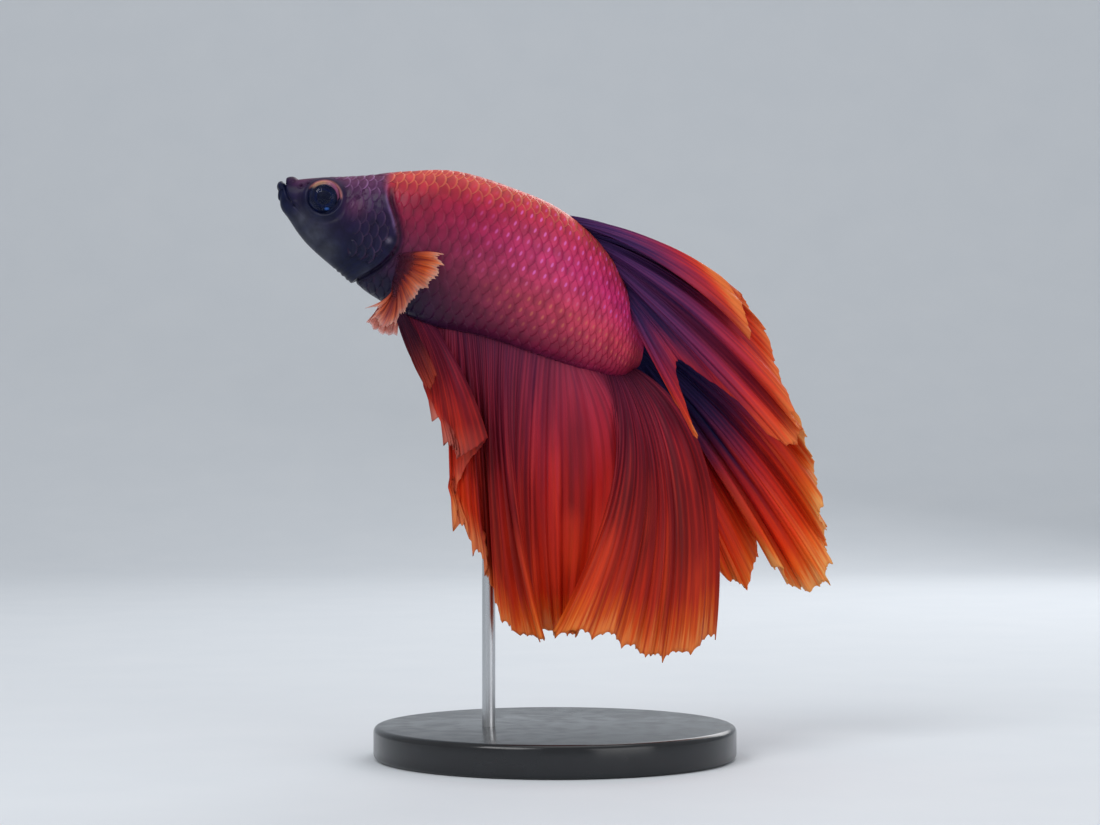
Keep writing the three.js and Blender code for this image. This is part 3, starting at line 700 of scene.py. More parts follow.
dorsal = {
    "material": "dorsal fin membrane", "slot": "fin_membrane",
    "passed": 0.22, "clearTips": 0.12,  # how much light goes through, and how clear the edge is
    "columns": 360, "rows": 84, "rays": 18, "jag": 0.5, "pleats": 21, "pleatDepth": 0.17,
    "folds": 6, "foldDepth": 0.45,
    "from": 0.69, "to": 0.875, "edge": math.pi / 2,
    # ray by ray: where it leaves the body, its tip, how far its middle stands off the straight line, how much
    # painted light the skin gets half way and at the tip, and how ruffled
    "control": [
        (0.0, [16.2, 5.0, 60.2], [0.4, 0, 1.5], 0.5, 0.7, 0.6),
        (0.08, [21.6, 3.8, 56.4], [1.6, -1.4, 3.0], 0.3, 0.8, 0.7),
        (0.16, [24.0, 3.0, 50.0], [1.8, -1.6, 3.8], 0.2, 0.8, 0.8),
        (0.21, [22.6, 5.8, 55.0], [1.6, 0.6, 3.2], 0.1, 0.5, 0.6),
        (0.26, [25.8, 7.0, 51.0], [1.8, 0.8, 4.0], 0.1, 0.8, 0.8),
        (0.33, [27.8, 6.2, 45.6], [2.0, 0.6, 4.4], 0.15, 0.8, 1),
        (0.43, [29.2, 4.4, 40.8], [1.6, -1.0, 3.4], 0.3, 0.7, 1),
        (0.53, [30.2, 6.4, 37.8], [1.2, 1.0, 2.8], 0.45, 0.8, 1),
        (0.64, [28.2, 4.6, 36.9], [0.6, -1.0, 1.2], 0.45, 0.9, 0.8),
        (0.75, [21.6, 7.2, 42.5], [0.3, 0, 0.6], 0.15, 0.8, 0.5),
        (0.85, [15.0, 8.2, 47.0], [0, 0, 0.4], 0.1, 0.3, 0.4),
        (0.93, [17.9, 5.2, 37.0], [-0.4, -1.0, 1.2], 0.35, 0.9, 0.4),
        (1.0, [14.0, 7.2, 45.0], [-0.4, 0, 0.4], 0.4, 0.6, 0.4),
    ],
    # colours from root to edge: in painted shade and in painted light, then those of the painted shadow
    # strokes and of the painted highlights; on every fin the dark navy and purple by the root is partly the
    # fin's colour and partly painted shade
    "deep": {0: "#34285e", 0.34: "#482c64", 0.55: "#682a58", 0.74: "#962846", 0.9: "#d0362c", 1: "#ea6434"},
    "lit": {0: "#58306a", 0.34: "#883c70", 0.55: "#b8345c", 0.74: "#de363c", 0.9: "#f2502c", 1: "#fa8e4c"},
    "dark": {0: "#222450", 0.5: "#30224e", 0.75: "#4c2046", 0.92: "#862636", 1: "#b8422c"},
    "bright": {0: "#64407e", 0.35: "#984676", 0.6: "#cc4260", 0.8: "#f44e34", 1: "#ff8c46"},
    "shadeShare": 0.7, "gleamShare": 0.6,
    # how ripe the colour gets towards the edge, front to rear, and along the first and last rays
    "ripeness": [1.35, 1.15, 1, 1, 1, 1, 1, 1, 0.96, 0.78, 0.68, 0.97, 0.95], "rims": [0.6, 0.8],
}
caudal = {
    "material": "tail fin membrane", "slot": "fin_membrane", "passed": 0.22, "clearTips": 0.12,
    "columns": 336, "rows": 84, "rays": 18, "jag": 0.75, "pleats": 24, "pleatDepth": 0.18,
    "folds": 7, "foldDepth": 0.5,
    "control": [
        (0.0, [27.6, 13.4, 44.5], [1.0, 2, 5.6], 0.05, 0.5, 0.6),
        (0.12, [31.0, 11.4, 38.8], [1.6, 3, 5.2], 0.05, 0.75, 0.8),
        (0.25, [33.0, 15.4, 33.6], [2.0, 4, 4.8], 0.2, 0.9, 1),
        (0.37, [33.2, 11.8, 27.6], [2.2, 3, 4.4], 0.3, 0.95, 1),
        (0.48, [34.2, 16.6, 23.4], [2.0, 4, 3.8], 0.3, 1, 1),
        (0.58, [34.2, 12.8, 19.2], [1.6, 3, 3.2], 0.35, 1, 1),
        (0.68, [31.4, 17.4, 18.2], [1.2, 4, 2.6], 0.3, 1, 0.9),
        (0.77, [28.2, 13.4, 20.8], [0.8, 3, 2.0], 0.35, 0.9, 0.8),
        (0.85, [26.0, 18.2, 24.2], [0.4, 3, 1.6], 0.7, 1, 0.7),
        (0.92, [24.2, 14.4, 18.0], [0.2, 3, 1.2], 0.95, 1, 0.7),
        (1.0, [19.6, 18.4, 22.4], [0, 2, 1.0], 1, 1, 0.7),
    ],
    "deep": {0: "#161e48", 0.38: "#24245a", 0.54: "#4c2450", 0.7: "#b0242e", 0.9: "#d8421e", 1: "#f08038"},
    "lit": {0: "#262c66", 0.3: "#442c62", 0.46: "#9c2e4c", 0.6: "#e2302e", 0.84: "#f64a1c", 0.94: "#fa7a2c",
            1: "#fcb464"},
    "dark": {0: "#101840", 0.5: "#261c48", 0.75: "#661e32", 0.92: "#a02e22", 1: "#cc6038"},
    "bright": {0: "#2c3068", 0.35: "#7a3058", 0.55: "#e43e36", 0.8: "#fa602c", 1: "#ffb468"},
    "shadeShare": 0.5, "gleamShare": 0.7,
    "ripeness": [1] * 8 + [0.96, 0.95, 0.95],
}
anal = {
    "material": "anal fin membrane", "slot": "fin_membrane", "passed": 0.25, "clearTips": 0.12,
    "columns": 432, "rows": 84, "rays": 27, "jag": 0.6, "pleats": 36, "pleatDepth": 0.25,
    "folds": 10, "foldDepth": 0.4,
    "from": 0.43, "to": 0.972, "edge": -math.pi / 2,
    "control": [
        (0.0, [-15.4, -0.6, 43.7], [0.6, 0, 0.6], 0.1, 0.2, 0.2),
        (0.04, [-13.9, -2.4, 37.8], [1.4, -0.4, 1.2], 0.1, 0.3, 0.2),
        (0.08, [-11.5, -3.6, 35.2], [2.0, -0.8, 1.4], 0.15, 0.25, 0.2),
        (0.12, [-7.9, -3.0, 37.8], [1.4, -1.2, 0.7], 0, 0, 0.3),
        (0.155, [-11.9, -0.4, 32.4], [1.4, 1.2, 1.0], 0.6, 1.2, 0.4),
        (0.19, [-12.0, -0.6, 26.9], [-0.6, 1.4, 0.6], 0.8, 1.5, 0.5),
        (0.24, [-9.0, 0.2, 22.0], [0.2, 0.4, 1.0], 0.15, 0.6, 0.8),
        (0.29, [-7.3, 0.2, 18.2], [0.2, 0, 1.0], 0.1, 0.3, 1),
        (0.34, [-5.1, -1.8, 14.6], [-1.2, 0, 0.6], 0.2, 0.45, 1),
        (0.39, [-1.4, -4.6, 13.6], [-3.6, 0, 0], 0.2, 0.6, 1),
        (0.46, [-2.3, -1.2, 13.9], [-2.4, 0, 0], 0.3, 0.8, 0.9),
        (0.56, [0.6, 1.0, 13.8], [-0.6, 0, 0.4], 0.8, 1, 1),
        (0.67, [2.2, -0.6, 13.9], [9.6, 3.0, 4.6], 1.1, 0.9, 0.9),
        (0.8, [-0.8, -5.4, 14.2], [8.0, -1.6, 4.0], 0.1, 0.75, 0.5),
        (0.86, [5.2, -6.0, 13.8], [7.0, -0.8, 5.2], 0, 0.3, 0.4),
        (0.91, [10.1, -4.4, 11.8], [6.4, 0, 6.4], 0.1, 0.45, 0.6),
        (0.96, [14.0, -3.4, 11.2], [6.8, 0, 8.0], 0.1, 0.35, 0.7),
        (1.0, [19.6, 2.2, 13.4], [8.0, 0, 10.0], 0, 0.25, 0.8),
    ],
    "deep": {0: "#602246", 0.2: "#76213c", 0.5: "#861c26", 0.87: "#981e1a", 0.95: "#c03e1a", 1: "#e47434"},
    "lit": {0: "#a83c5a", 0.22: "#bc3048", 0.5: "#cc2826", 0.87: "#dc3818", 0.95: "#f0641c", 1: "#fa9040"},
    "dark": {0: "#4a1a36", 0.3: "#521426", 0.65: "#581214", 0.87: "#6c1a10", 0.95: "#962e14", 1: "#c85c28"},
    "bright": {0: "#b84462", 0.3: "#da3c4c", 0.6: "#ee4430", 0.87: "#f65420", 0.95: "#fc7c2a",
               1: "#ffa858"},
    "shadeShare": 0.68, "gleamShare": 0.7,
    # front to rear: how deep the notches are, how ripe the colour gets towards the edge, how far the notches
    # draw the edge backwards, how pink it is, and how much painted shadow darkens the upper part
    "fray": [1.2, 1.7, 0.9, 0.1, 0.6, 1.7, 1.8, 1.4, 1.1] + [0.9] * 9,
    "ripeness": [0.95, 0.88, 0.8, 0.62, 0.92, 1.05, 1.03] + [1] * 11,
    "drawBack": [0.9, 1, 0.5, 0, 0.3, 0.5, 0.3] + [0] * 11,
    "blush": [0.8, 0.8, 0.3, 0, 0.3, 0.3, 0.3, 0.1] + [0] * 10,
    "paintedShadow": [0.3, 0.1, 0, 0.3, 0.3, 0, 0, 0.4, 0.2, 0, 0.1, 0, 0, 0.5, 0.5, 0.1, 0.2, 0.1],
}
pectoral = {
    "material": "clear pectoral membrane", "slot": "clear_fin", "passed": 0.45, "clearTips": 0.6,
    "columns": 240, "rows": 48, "rays": 9, "jag": 0.9, "pleats": 12, "pleatDepth": 0.09,
    "folds": 2, "foldDepth": 0.16,
    "ends": [[-18.9, 3.7, 59.6], [-19.4, 2.6, 56.8]],
    "control": [
        (0.0, [-13.1, 9.2, 59.4], [0, 0, 0.8], 0.3, 0.9, 1),
        (0.2, [-12.9, 9.8, 57.7], [0, 0, 0.5], 0.5, 1.1, 1),
        (0.35, [-14.2, 9.6, 56.0], [0, 0.2, 0.3], 0.4, 0.9, 1),
        (0.5, [-16.0, 9.0, 54.2], [0.2, 0.4, 0.2], 0.25, 0.6, 1),
        (0.63, [-17.6, 8.4, 52.2], [0.6, 0.6, 0], 0.2, 0.45, 1),
        (0.76, [-19.4, 7.8, 50.7], [1.1, 0.8, 0], 0.2, 0.4, 1),
        (0.88, [-21.7, 7.2, 51.2], [1.9, 0.8, -0.2], 0.2, 0.4, 1),
        (1.0, [-22.4, 6.6, 53.2], [2.4, 0.8, -0.6], 0.3, 0.7, 1),
    ],
    "liftRight": [0.8, 0, 1.6],  # the right fin beats higher
    "deep": {0: "#341834", 0.4: "#5a2638", 0.6: "#8a3a48", 0.85: "#a85a62", 1: "#d0949c"},
    "lit": {0: "#4c2440", 0.35: "#8a3634", 0.5: "#d8522a", 0.7: "#ec6c30", 0.9: "#f49464", 1: "#ffd0b4"},
    "dark": {0: "#2c1a30", 0.5: "#5a2434", 1: "#94484a"},
    "bright": {0: "#a04444", 0.4: "#e0683c", 0.8: "#f0987c", 1: "#fcd4c8"},
    "shadeShare": 0.6, "gleamShare": 0.4,
    "clearRoot": [0.6, 0.3, 0.62],  # how clear the membrane is by the body, and where that ends
}
pelvicLeft = {
    "material": "pelvic fin left", "slot": "fin_membrane", "passed": 0.15, "clearTips": 0.05,
    "columns": 48, "rows": 60, "rays": 4, "jag": 0.3, "pleats": 4, "pleatDepth": 0.08,
    "folds": 1, "foldDepth": 0.1,
    "ends": [[-19.4, -1.1, 53.5], [-18.2, -1.1, 53.1]],
    "control": [
        (0.0, [-15.4, -3.0, 44.1], [-0.5, -0.6, -0.3], 0.1, 0.15, 1),
        (0.5, [-14.7, -3.6, 43.6], [0, -0.8, 0], 0.15, 0.3, 1),
        (1.0, [-14.0, -3.2, 45.2], [0.5, -0.6, 0.4], 0.1, 0.2, 1),
    ],
    "deep": {0: "#30162e", 0.4: "#42182c", 0.75: "#702226", 1: "#983024"},
    "lit": {0: "#4a2038", 0.4: "#6a2636", 0.75: "#983028", 1: "#bc4a32"},
    "dark": {0: "#201228", 0.5: "#3a1628", 1: "#6e2420"},
    "bright": {0: "#5a2a40", 0.5: "#8c343c", 1: "#c05640"},
    "shadeShare": 0.6, "gleamShare": 0.35,
}
pelvicRight = {
    "material": "pelvic fin right", "slot": "fin_membrane", "passed": 0.4, "clearTips": 0.5,
    "columns": 48, "rows": 48, "rays": 4, "jag": 0.3, "pleats": 4, "pleatDepth": 0.08,
    "folds": 1, "foldDepth": 0.1,
    "ends": [[-20.6, 1.1, 54.6], [-19.2, 1.1, 53.9]],
    "control": [
        (0.0, [-23.0, 6.4, 52.0], [-0.4, 0.8, -0.6], 0.7, 0.8, 1),
        (0.5, [-21.3, 7.4, 50.6], [0, 1.0, -0.4], 0.9, 1, 1),
        (1.0, [-19.3, 6.2, 50.2], [0.3, 0.8, 0], 0.6, 0.8, 1),
    ],
    "deep": {0: "#6a3044", 0.5: "#a04a4c", 0.9: "#c87868", 1: "#d8a8a8"},
    "lit": {0: "#a04a54", 0.5: "#e07458", 0.9: "#f0a898", 1: "#f4d0cc"},
    "dark": {0: "#402238", 0.6: "#803c44", 1: "#b88080"},
    "bright": {0: "#c05a60", 0.5: "#f08870", 1: "#fce0dc"},
    "shadeShare": 0.5, "gleamShare": 0.4,
}
membrane = {
    "thickness": 0.13, "rootDepth": 0.9, "rayHeight": 0.025, "seed": 11,
    # painted shadow strokes and painted highlight strokes: how many to a ray, how wide, where they start and
    # how long they are, the step of the seed, and how strong
    "shade": [(1, 0.7, (-0.2, 0.35), (0.5, 0.9), 20, 1), (2, 0.5, (0.0, 0.6), (0.2, 0.5), 21, 0.8)],
    "gleam": [(2, 0.35, (-0.1, 0.6), (0.25, 0.6), 22, 1), (1, 0.5, (0.3, 0.8), (0.2, 0.5), 23, 1)],
    "roughness": 0.45, "sheen": 0.1, "rayDepth": 0.04, "blush": "#dc8678",
    "broadStreaks": (3, 2.2), "fineStreaks": (13, 3.5),  # to a ray, and from root to edge
    "branches": 4,  # fine lines to a ray
}


def edgeBase(fin):
    def base(share):
        t = fin["from"] + (fin["to"] - fin["from"]) * share
        return bodyPoint(t, np.full(np.shape(t), fin["edge"]), -membrane["rootDepth"])

    return base


def tailBase(share):
    top = bodyPoint(np.array(0.925), np.array(math.pi / 2), -0.6)
    bottom = bodyPoint(np.array(0.985), np.array(-math.pi / 2), -0.8)
    bulge = np.sin(math.pi * share)[..., None] * np.array([0.5, 1.5, 0])
    return top + (bottom - top) * share[..., None] + bulge


def pointBase(fin, side=1):
    first, last = (np.array(end) * [1, side, 1] for end in fin["ends"])
    return lambda share: first + (last - first) * share[..., None]


def rayValue(fin, column, u):
    return smoothValue([ray[column] for ray in fin["control"]], u)


def listValue(fin, name, plain, u):
    # one of the fin's lists from front to rear, or the plain value where it has none
    return smoothValue(fin.get(name, [plain, plain]), u)


def drawn(count, u, skip=0):
    # a smooth random value from 0 to 1 along the fin
    values = np.random.default_rng(membrane["seed"] + skip).random(count + 1)
    return np.clip(smoothValue(values, u), 0, 1)


def notch(fin, u):
    # the free edge: rays end in points, in lobes of a few rays, with smaller points for their branches
    rays = fin["rays"]
    main = np.abs(np.sin(math.pi * rays * u)) ** 0.75 * (0.4 + 1.1 * drawn(rays, u, 1))
    branch = np.abs(np.sin(math.pi * rays * 4 * u)) ** 0.8 * (0.1 + 0.5 * drawn(rays * 4, u, 2))
    lobe = 0.5 * drawn(rays // 2, u) ** 2
    return listValue(fin, "fray", 1, u) * fin["jag"] * (main + branch + lobe)


def finPoint(fin, base, u, v, side, shift):
    # a point of the sheet before its pleats, with the notches between the rays' ends
    start = base(np.clip(rayValue(fin, 0, u), 0, 1))
    tip = smoothPath([np.array(ray[1]) * [1, side, 1] + shift for ray in fin["control"]], u)
    bow = smoothPath([np.array(ray[2]) * [1, side, 1] for ray in fin["control"]], u)
    depth = notch(fin, u)
    w = (v * (1 - depth / np.linalg.norm(tip - start, axis=-1)))[..., None]
    middle = (start + tip) / 2 + bow
    back = depth * listValue(fin, "drawBack", 0, u) * fade(v, 0.8, 1) * v
    arch = (1 - w) ** 2 * start + 2 * w * (1 - w) * middle + w * w * tip
    return arch + back[..., None] * np.array([1, 0, 0.2])


def strokes(fin, kind, u, v):
    # tapered strokes that follow the rays, each with a place, a length and a strength of its own
    field = np.zeros_like(u)
    for each, width, starts, lengths, skip, strength in membrane[kind]:
        count = each * fin["rays"]
        dice = np.random.default_rng(membrane["seed"] + skip)
        for number in range(count):
            middle = (number + dice.random()) / count
            first = starts[0] + (starts[1] - starts[0]) * dice.random()
            length = lengths[0] + (lengths[1] - lengths[0]) * dice.random()
            lean = (dice.random() - 0.5) * 0.9 / count
            swell = np.sin(math.pi * np.clip((v - first) / length, 0, 1))
            half = width / count * (0.5 + dice.random()) * swell ** 0.6
            off = np.abs(u - middle - lean * (v - first))
            stroke = np.clip(1 - off / np.maximum(half, 1e-6), 0, 1) * (0.45 + 0.55 * dice.random())
            field = np.maximum(field, strength * stroke * np.minimum(1, 1.3 * swell))
    return field


def pleatWave(fin, u, v):
    # the fine pleats between neighbouring rays, uneven in width and depth
    drift = 2.2 * drawn(fin["pleats"] // 2, u, 3) + 1.6 * v * drawn(fin["pleats"] // 3, u, 4)
    turn = 2 * math.pi * fin["pleats"] * u + drift * 2
    depth = 0.35 + 0.9 * drawn(fin["pleats"] // 2, u, 5)
    return (np.sin(turn) + 0.3 * np.sin(2 * turn + 0.8)) * depth


def foldWave(fin, u, v):
    # the broad folds, which lean as they go down
    lean = 1.4 * v * (drawn(fin["folds"], u, 7) - 0.5)
    return np.sin(2 * math.pi * fin["folds"] * u + 5 * drawn(fin["folds"], u, 6) + lean)


def finSheet(fin, base, u, v, side, shift):
    def at(atU, atV):
        return finPoint(fin, base, atU, atV, side, shift)

    step = 1e-3
    alongU = at(np.clip(u + step, 0, 1), v) - at(np.clip(u - step, 0, 1), v)
    alongV = at(u, np.clip(v + step, 0, 1)) - at(u, np.clip(v - step, 0, 1))
    normal = unit(np.cross(alongU, alongV))
    swell = 0.25 + 0.75 * fade(v, 0.0, 0.4) + 0.7 * fade(v, 0.4, 0.85)
    wave = pleatWave(fin, u, v) * fin["pleatDepth"] * swell * rayValue(fin, 5, u)
    fold = foldWave(fin, u, v) * fin["foldDepth"] * fade(v, 0.02, 0.6)
    ray = np.cos(2 * math.pi * fin["rays"] * 2 * u) * membrane["rayHeight"]
    return at(u, v) + normal * (wave + fold + ray)[..., None]


def makeFinMaterial(fin):
    # a thin skin between soft rays: wet, red from dark roots to clear orange tips, light shows through; its
    # light and shade are painted in, and the dark roots are partly painted shade
    material, tree = newMaterial(fin["material"])
    ray, out = amountOf(tree, "rayPlace"), amountOf(tree, "rayOut")
    streaks = []
    for key, detail in (("broadStreaks", 3), ("fineStreaks", 2)):
        perRay, alongRay = membrane[key]
        place = addNode(tree, "CombineXYZ", [amountOf(tree, ray, fin["rays"] * perRay),
                                             amountOf(tree, out, alongRay)])
        streaks.append(addNode(tree, "TexNoise", {"Vector": place, "Scale": 1.0, "Detail": detail}))
    broad, fine = streaks
    ragged = addNode(tree, "Math", [fine, 0.5], operation="SUBTRACT")
    wavy = addNode(tree, "Math", [ragged, 0.22, out], operation="MULTIPLY_ADD")
    deep, lit, dark, bright = (addNode(tree, "ValToRGB", [wavy], stops=fin[key])
                               for key in ("deep", "lit", "dark", "bright"))
    # painted light and shade: the lit colours show over the shaded ones in random streaks, by the painted
    # light of each fold and along the pleats' waves, then painted shadow strokes lay the dark colours over
    # them
    middling = addNode(tree, "Math", [broad, 0.5], operation="SUBTRACT")
    streak = addNode(tree, "Math", [middling, 1.2, amountOf(tree, "glow")], operation="MULTIPLY_ADD")
    streak = addNode(tree, "Math", [ragged, 0.9, streak], operation="MULTIPLY_ADD")
    streak = addNode(tree, "Math", [amountOf(tree, "fold"), 0.14, streak], operation="MULTIPLY_ADD",
                     use_clamp=True)
    shade = addNode(tree, "Math", [ragged, 0.5, amountOf(tree, "shade")], operation="MULTIPLY_ADD",
                    use_clamp=True)
    colour = layOver(tree, deep, lit, streak)
    colour = layOver(tree, colour, dark, shade, fin["shadeShare"])
    # the fine lines of the rays' branches, each a painted highlight with painted shadow beside it, and
    # stronger in some places
    turns = amountOf(tree, ray, 2 * math.pi * fin["rays"] * membrane["branches"])
    line = addNode(tree, "Math", [turns], operation="COSINE")
    uneven = (broad, 0.35, 0.62, 0.25, 1.2)
    colour = layOver(tree, colour, lit, (line, 0.0, 0.9, 0.0, 0.3), uneven)
    colour = layOver(tree, colour, dark, (line, 0.0, -0.9, 0.0, 0.27), uneven)
    # painted highlights: bright strokes where the membrane catches the light
    colour = layOver(tree, colour, bright, "gleam", (streak, 0.0, 0.7, 0.3, 1.0), fin["gleamShare"])
    colour = layOver(tree, colour, membrane["blush"], "blush")
    height = addNode(tree, "Math", [fine, 3.0, line], operation="MULTIPLY_ADD")
    bump = addNode(tree, "Bump", {"Strength": 0.5, "Distance": membrane["rayDepth"] * mm, "Height": height})
    shader = addNode(tree, "BsdfPrincipled", {
        "Base Color": colour, "Roughness": membrane["roughness"], "Specular IOR Level": membrane["sheen"],
        "Normal": bump})
    through = addNode(tree, "BsdfTranslucent", {"Color": layOver(tree, colour, lit, 0.2), "Normal": bump})
    skinShader = addNode(tree, "MixShader", [fin["passed"], shader, through])
    clear = amountOf(tree, (wavy, 0.86, 1.04), fin["clearTips"])
    if "clearRoot" in fin:
        most, first, last = fin["clearRoot"]
        clear = addNode(tree, "Math", [clear, amountOf(tree, (wavy, last, first, 0.0, most))],
                        operation="MAXIMUM")
    final = addNode(tree, "MixShader", [clear, skinShader, addNode(tree, "BsdfTransparent")])
    addNode(tree, "OutputMaterial", [final])
    return material


def makeFin(name, fin, base, side=1, shift=(0, 0, 0)):
    piece, u, v = gridPiece(name + "_membrane", fin["columns"], fin["rows"])
    setPlaces(piece, toWorld(finSheet(fin, base, u, v, side, shift)))
    front, rear = fin.get("rims", [0, 0])
    rim = front * fade(u, 0.04, 0.005) * fade(v, 0.3, 0.55) + rear * fade(u, 0.965, 0.995) * fade(v, 0, 0.3)
    half, tip = rayValue(fin, 3, u), rayValue(fin, 4, u)
    # painted shadow over the upper part, fading out towards the edge
    paintedShadow = listValue(fin, "paintedShadow", 0, u) * fade(v, 1.0, 0.4)
    # for the material: painted light by the fold and by the pleats' waves, painted shadow strokes and painted
    # highlight strokes
    keepValues(
        piece, rayPlace=u, rayOut=v * listValue(fin, "ripeness", 1, u) + rim * (1 - v),
        blush=listValue(fin, "blush", 0, u) * fade(v, 0.8, 1.0),
        glow=half + (tip - half) * fade(v, 0.35, 0.9), fold=pleatWave(fin, u, v),
        shade=strokes(fin, "shade", u, v) + paintedShadow, gleam=strokes(fin, "gleam", u, v))
    sheetFaces = len(piece.data.polygons)
    applyModifier(piece, "SOLIDIFY", thickness=membrane["thickness"] * mm, offset=0)
    spreadSides(piece, sheetFaces)
    settle(piece, bpy.data.materials.get(fin["material"]) or makeFinMaterial(fin), fin["slot"], name)
    print(name, len(piece.data.polygons), "faces")


def spreadSides(piece, sheetFaces):
    # the two sides of a sheet take the two halves of its map
    layer = piece.data.uv_layers["OFBake"].data
    flat = np.empty(len(layer) * 2, np.float32)
    layer.foreach_get("uv", flat)
    uvs = flat.reshape(-1, 2)
    uvs[:, 0] *= 0.49
    uvs[sheetFaces * 4:sheetFaces * 8, 0] += 0.51
    layer.foreach_set("uv", uvs.ravel())


eye = {
    "y": 2.1, "steps": 64,
    # from the pupil's middle round to the back: distance from the axis, height on it
    "ball": [[0, 1.24], [0.3, 1.21], [0.55, 1.12], [0.74, 0.98], [0.83, 0.86], [0.86, 0.76], [1.0, 0.8],
             [1.3, 0.78], [1.6, 0.66], [1.8, 0.56], [1.9, 0.5], [1.98, 0.3], [2.02, 0], [1.8, -0.6],
             [1.2, -1.1], [0, -1.4]],
    "cornea": [[0, 1.49], [0.5, 1.45], [0.95, 1.34], [1.35, 1.14], [1.65, 0.88], [1.84, 0.6], [1.92, 0.42]],
    "corneaThickness": 0.05,
    # from the pupil's middle outwards, up to reach
    "rings": {0: "#060c24", 0.38: "#070e28", 0.44: "#0a1640", 0.6: "#060e2c", 0.86: "#0a1232", 1: "#05070f"},
    "reach": 2.1,
    # the glint's colour, place and size paint a blue reflection low on the eye
    "gold": "#c8906a", "pink": "#b46486", "glint": "#3468b8", "tears": "#f4f8ff",
    "glintAt": (0.34, 0, -1.34), "glintSize": (0.3846, 1, 0.2273), "grainSize": 0.2857,
}


def spinPiece(name, profile, side):
    # a profile turned round the eye's own axis, which points sideways
    centre = np.array([head["eye"][0], side * eye["y"], head["eye"][1]])
    corners = np.array([centre + [r, side * rise, 0] for r, rise in profile])
    piece = meshPiece(name, corners, [(i, i + 1) for i in range(len(corners) - 1)], [])
    pick(piece)
    bpy.ops.object.mode_set(mode="EDIT")
    bpy.ops.mesh.select_all(action="SELECT")
    bpy.ops.mesh.spin(steps=eye["steps"], angle=2 * math.pi, center=tuple(toWorld(centre)), axis=(0, 1, 0))
    bpy.ops.object.mode_set(mode="OBJECT")
    closeSeams(piece, 0.003)
    return piece


def makeEyeMaterial():
    # a fish's eye: near-black lens, navy iris with a painted blue glint low on it, and a gold and pink ring
    # above and behind that is a painted highlight
    material, tree = newMaterial("fish eye")
    place = addNode(tree, "TexCoord", out="Object")
    centre = toWorld(np.array([head["eye"][0], 0, head["eye"][1]])) / mm
    moved = addNode(tree, "Mapping", {"Vector": place, "Location": (-centre[0], 0, -centre[2]),
                                      "Scale": (1 / mm, 0, 1 / mm)})
    radius = addNode(tree, "VectorMath", [moved], "Value", operation="LENGTH")
    back, up = (addNode(tree, "SeparateXYZ", [moved], axis) for axis in ("X", "Z"))
    rings = addNode(tree, "ValToRGB", [amountOf(tree, radius, 1 / eye["reach"])], stops=eye["rings"])
    # painted highlight: the gold and pink ring shows only above and behind, where the light from above falls
    upBack = addNode(tree, "Math", [back, 0.55, up], operation="MULTIPLY_ADD")
    grain = addNode(tree, "TexNoise", {"Vector": place, "Scale": repeats(eye["grainSize"]), "Detail": 2})
    litRing = layOver(tree, eye["gold"], eye["pink"], (back, -0.4, 1.2))
    colour = layOver(tree, rings, litRing, (upBack, 0.2, 1.0), (radius, 1.52, 1.66),
                     (grain, 0.2, 0.6, 0.7, 1.0), 0.85)
    # painted reflection: a blue glint low on the eye
    glint = addNode(tree, "VectorMath", [moved, eye["glintAt"]], operation="SUBTRACT")
    glint = addNode(tree, "VectorMath", [glint, eye["glintSize"]], operation="DIVIDE")
    glint = addNode(tree, "VectorMath", [glint], "Value", operation="LENGTH")
    colour = layOver(tree, colour, eye["glint"], (glint, 1.0, 0.3))
    shader = addNode(tree, "BsdfPrincipled", {
        "Base Color": colour, "Roughness": 0.3, "Specular IOR Level": 0.06})
    addNode(tree, "OutputMaterial", [shader])
    return material


def makeCorneaMaterial():
    # the clear wet front of the eye
    material, tree = newMaterial("clear cornea")
    shader = addNode(tree, "BsdfPrincipled", {
        "Base Color": eye["tears"], "Roughness": 0.02, "IOR": 1.15, "Transmission Weight": 1.0})
    addNode(tree, "OutputMaterial", [shader])
    return material


def makeEyes():
    ballMaterial, corneaMaterial = makeEyeMaterial(), makeCorneaMaterial()
    for name, side in (("left", -1), ("right", 1)):
        settle(spinPiece("eyeball_" + name, eye["ball"], side), ballMaterial, "eye", "eye_" + name)
        cornea = spinPiece("cornea_" + name, eye["cornea"], side)
        applyModifier(cornea, "SOLIDIFY", thickness=eye["corneaThickness"] * mm, offset=-1)
        settle(cornea, corneaMaterial, "eye")
    print("eyes")


stand = {
    "sides": 160, "bevel": 0.7, "bevelSteps": 5, "rodSides": 48,
    "smoothUnder": 35,  # degrees
    "acrylic": ["#17181b", "#202226"], "steel": "#c3c5c8",
    "hazeSize": 2.5,
    "lineSize": [0.1111, 0.1111, 8.333],  # the steel's drawing lines, as coarse as they need to show
}


def makeAcrylic():
    # cast acrylic sheet, turned and polished: deep black with a clear gloss and a faint haze from wiping
    material, tree = newMaterial("polished black acrylic")
    place = addNode(tree, "TexCoord", out="Object")
    haze = addNode(tree, "TexNoise", {"Vector": place, "Scale": repeats(stand["hazeSize"]), "Detail": 4})
    shader = addNode(tree, "BsdfPrincipled", {
        "Base Color": layOver(tree, *stand["acrylic"], haze),
        "Roughness": amountOf(tree, (haze, 0.3, 0.7, 0.14, 0.24)), "IOR": 1.49})
    addNode(tree, "OutputMaterial", [shader])
    return material


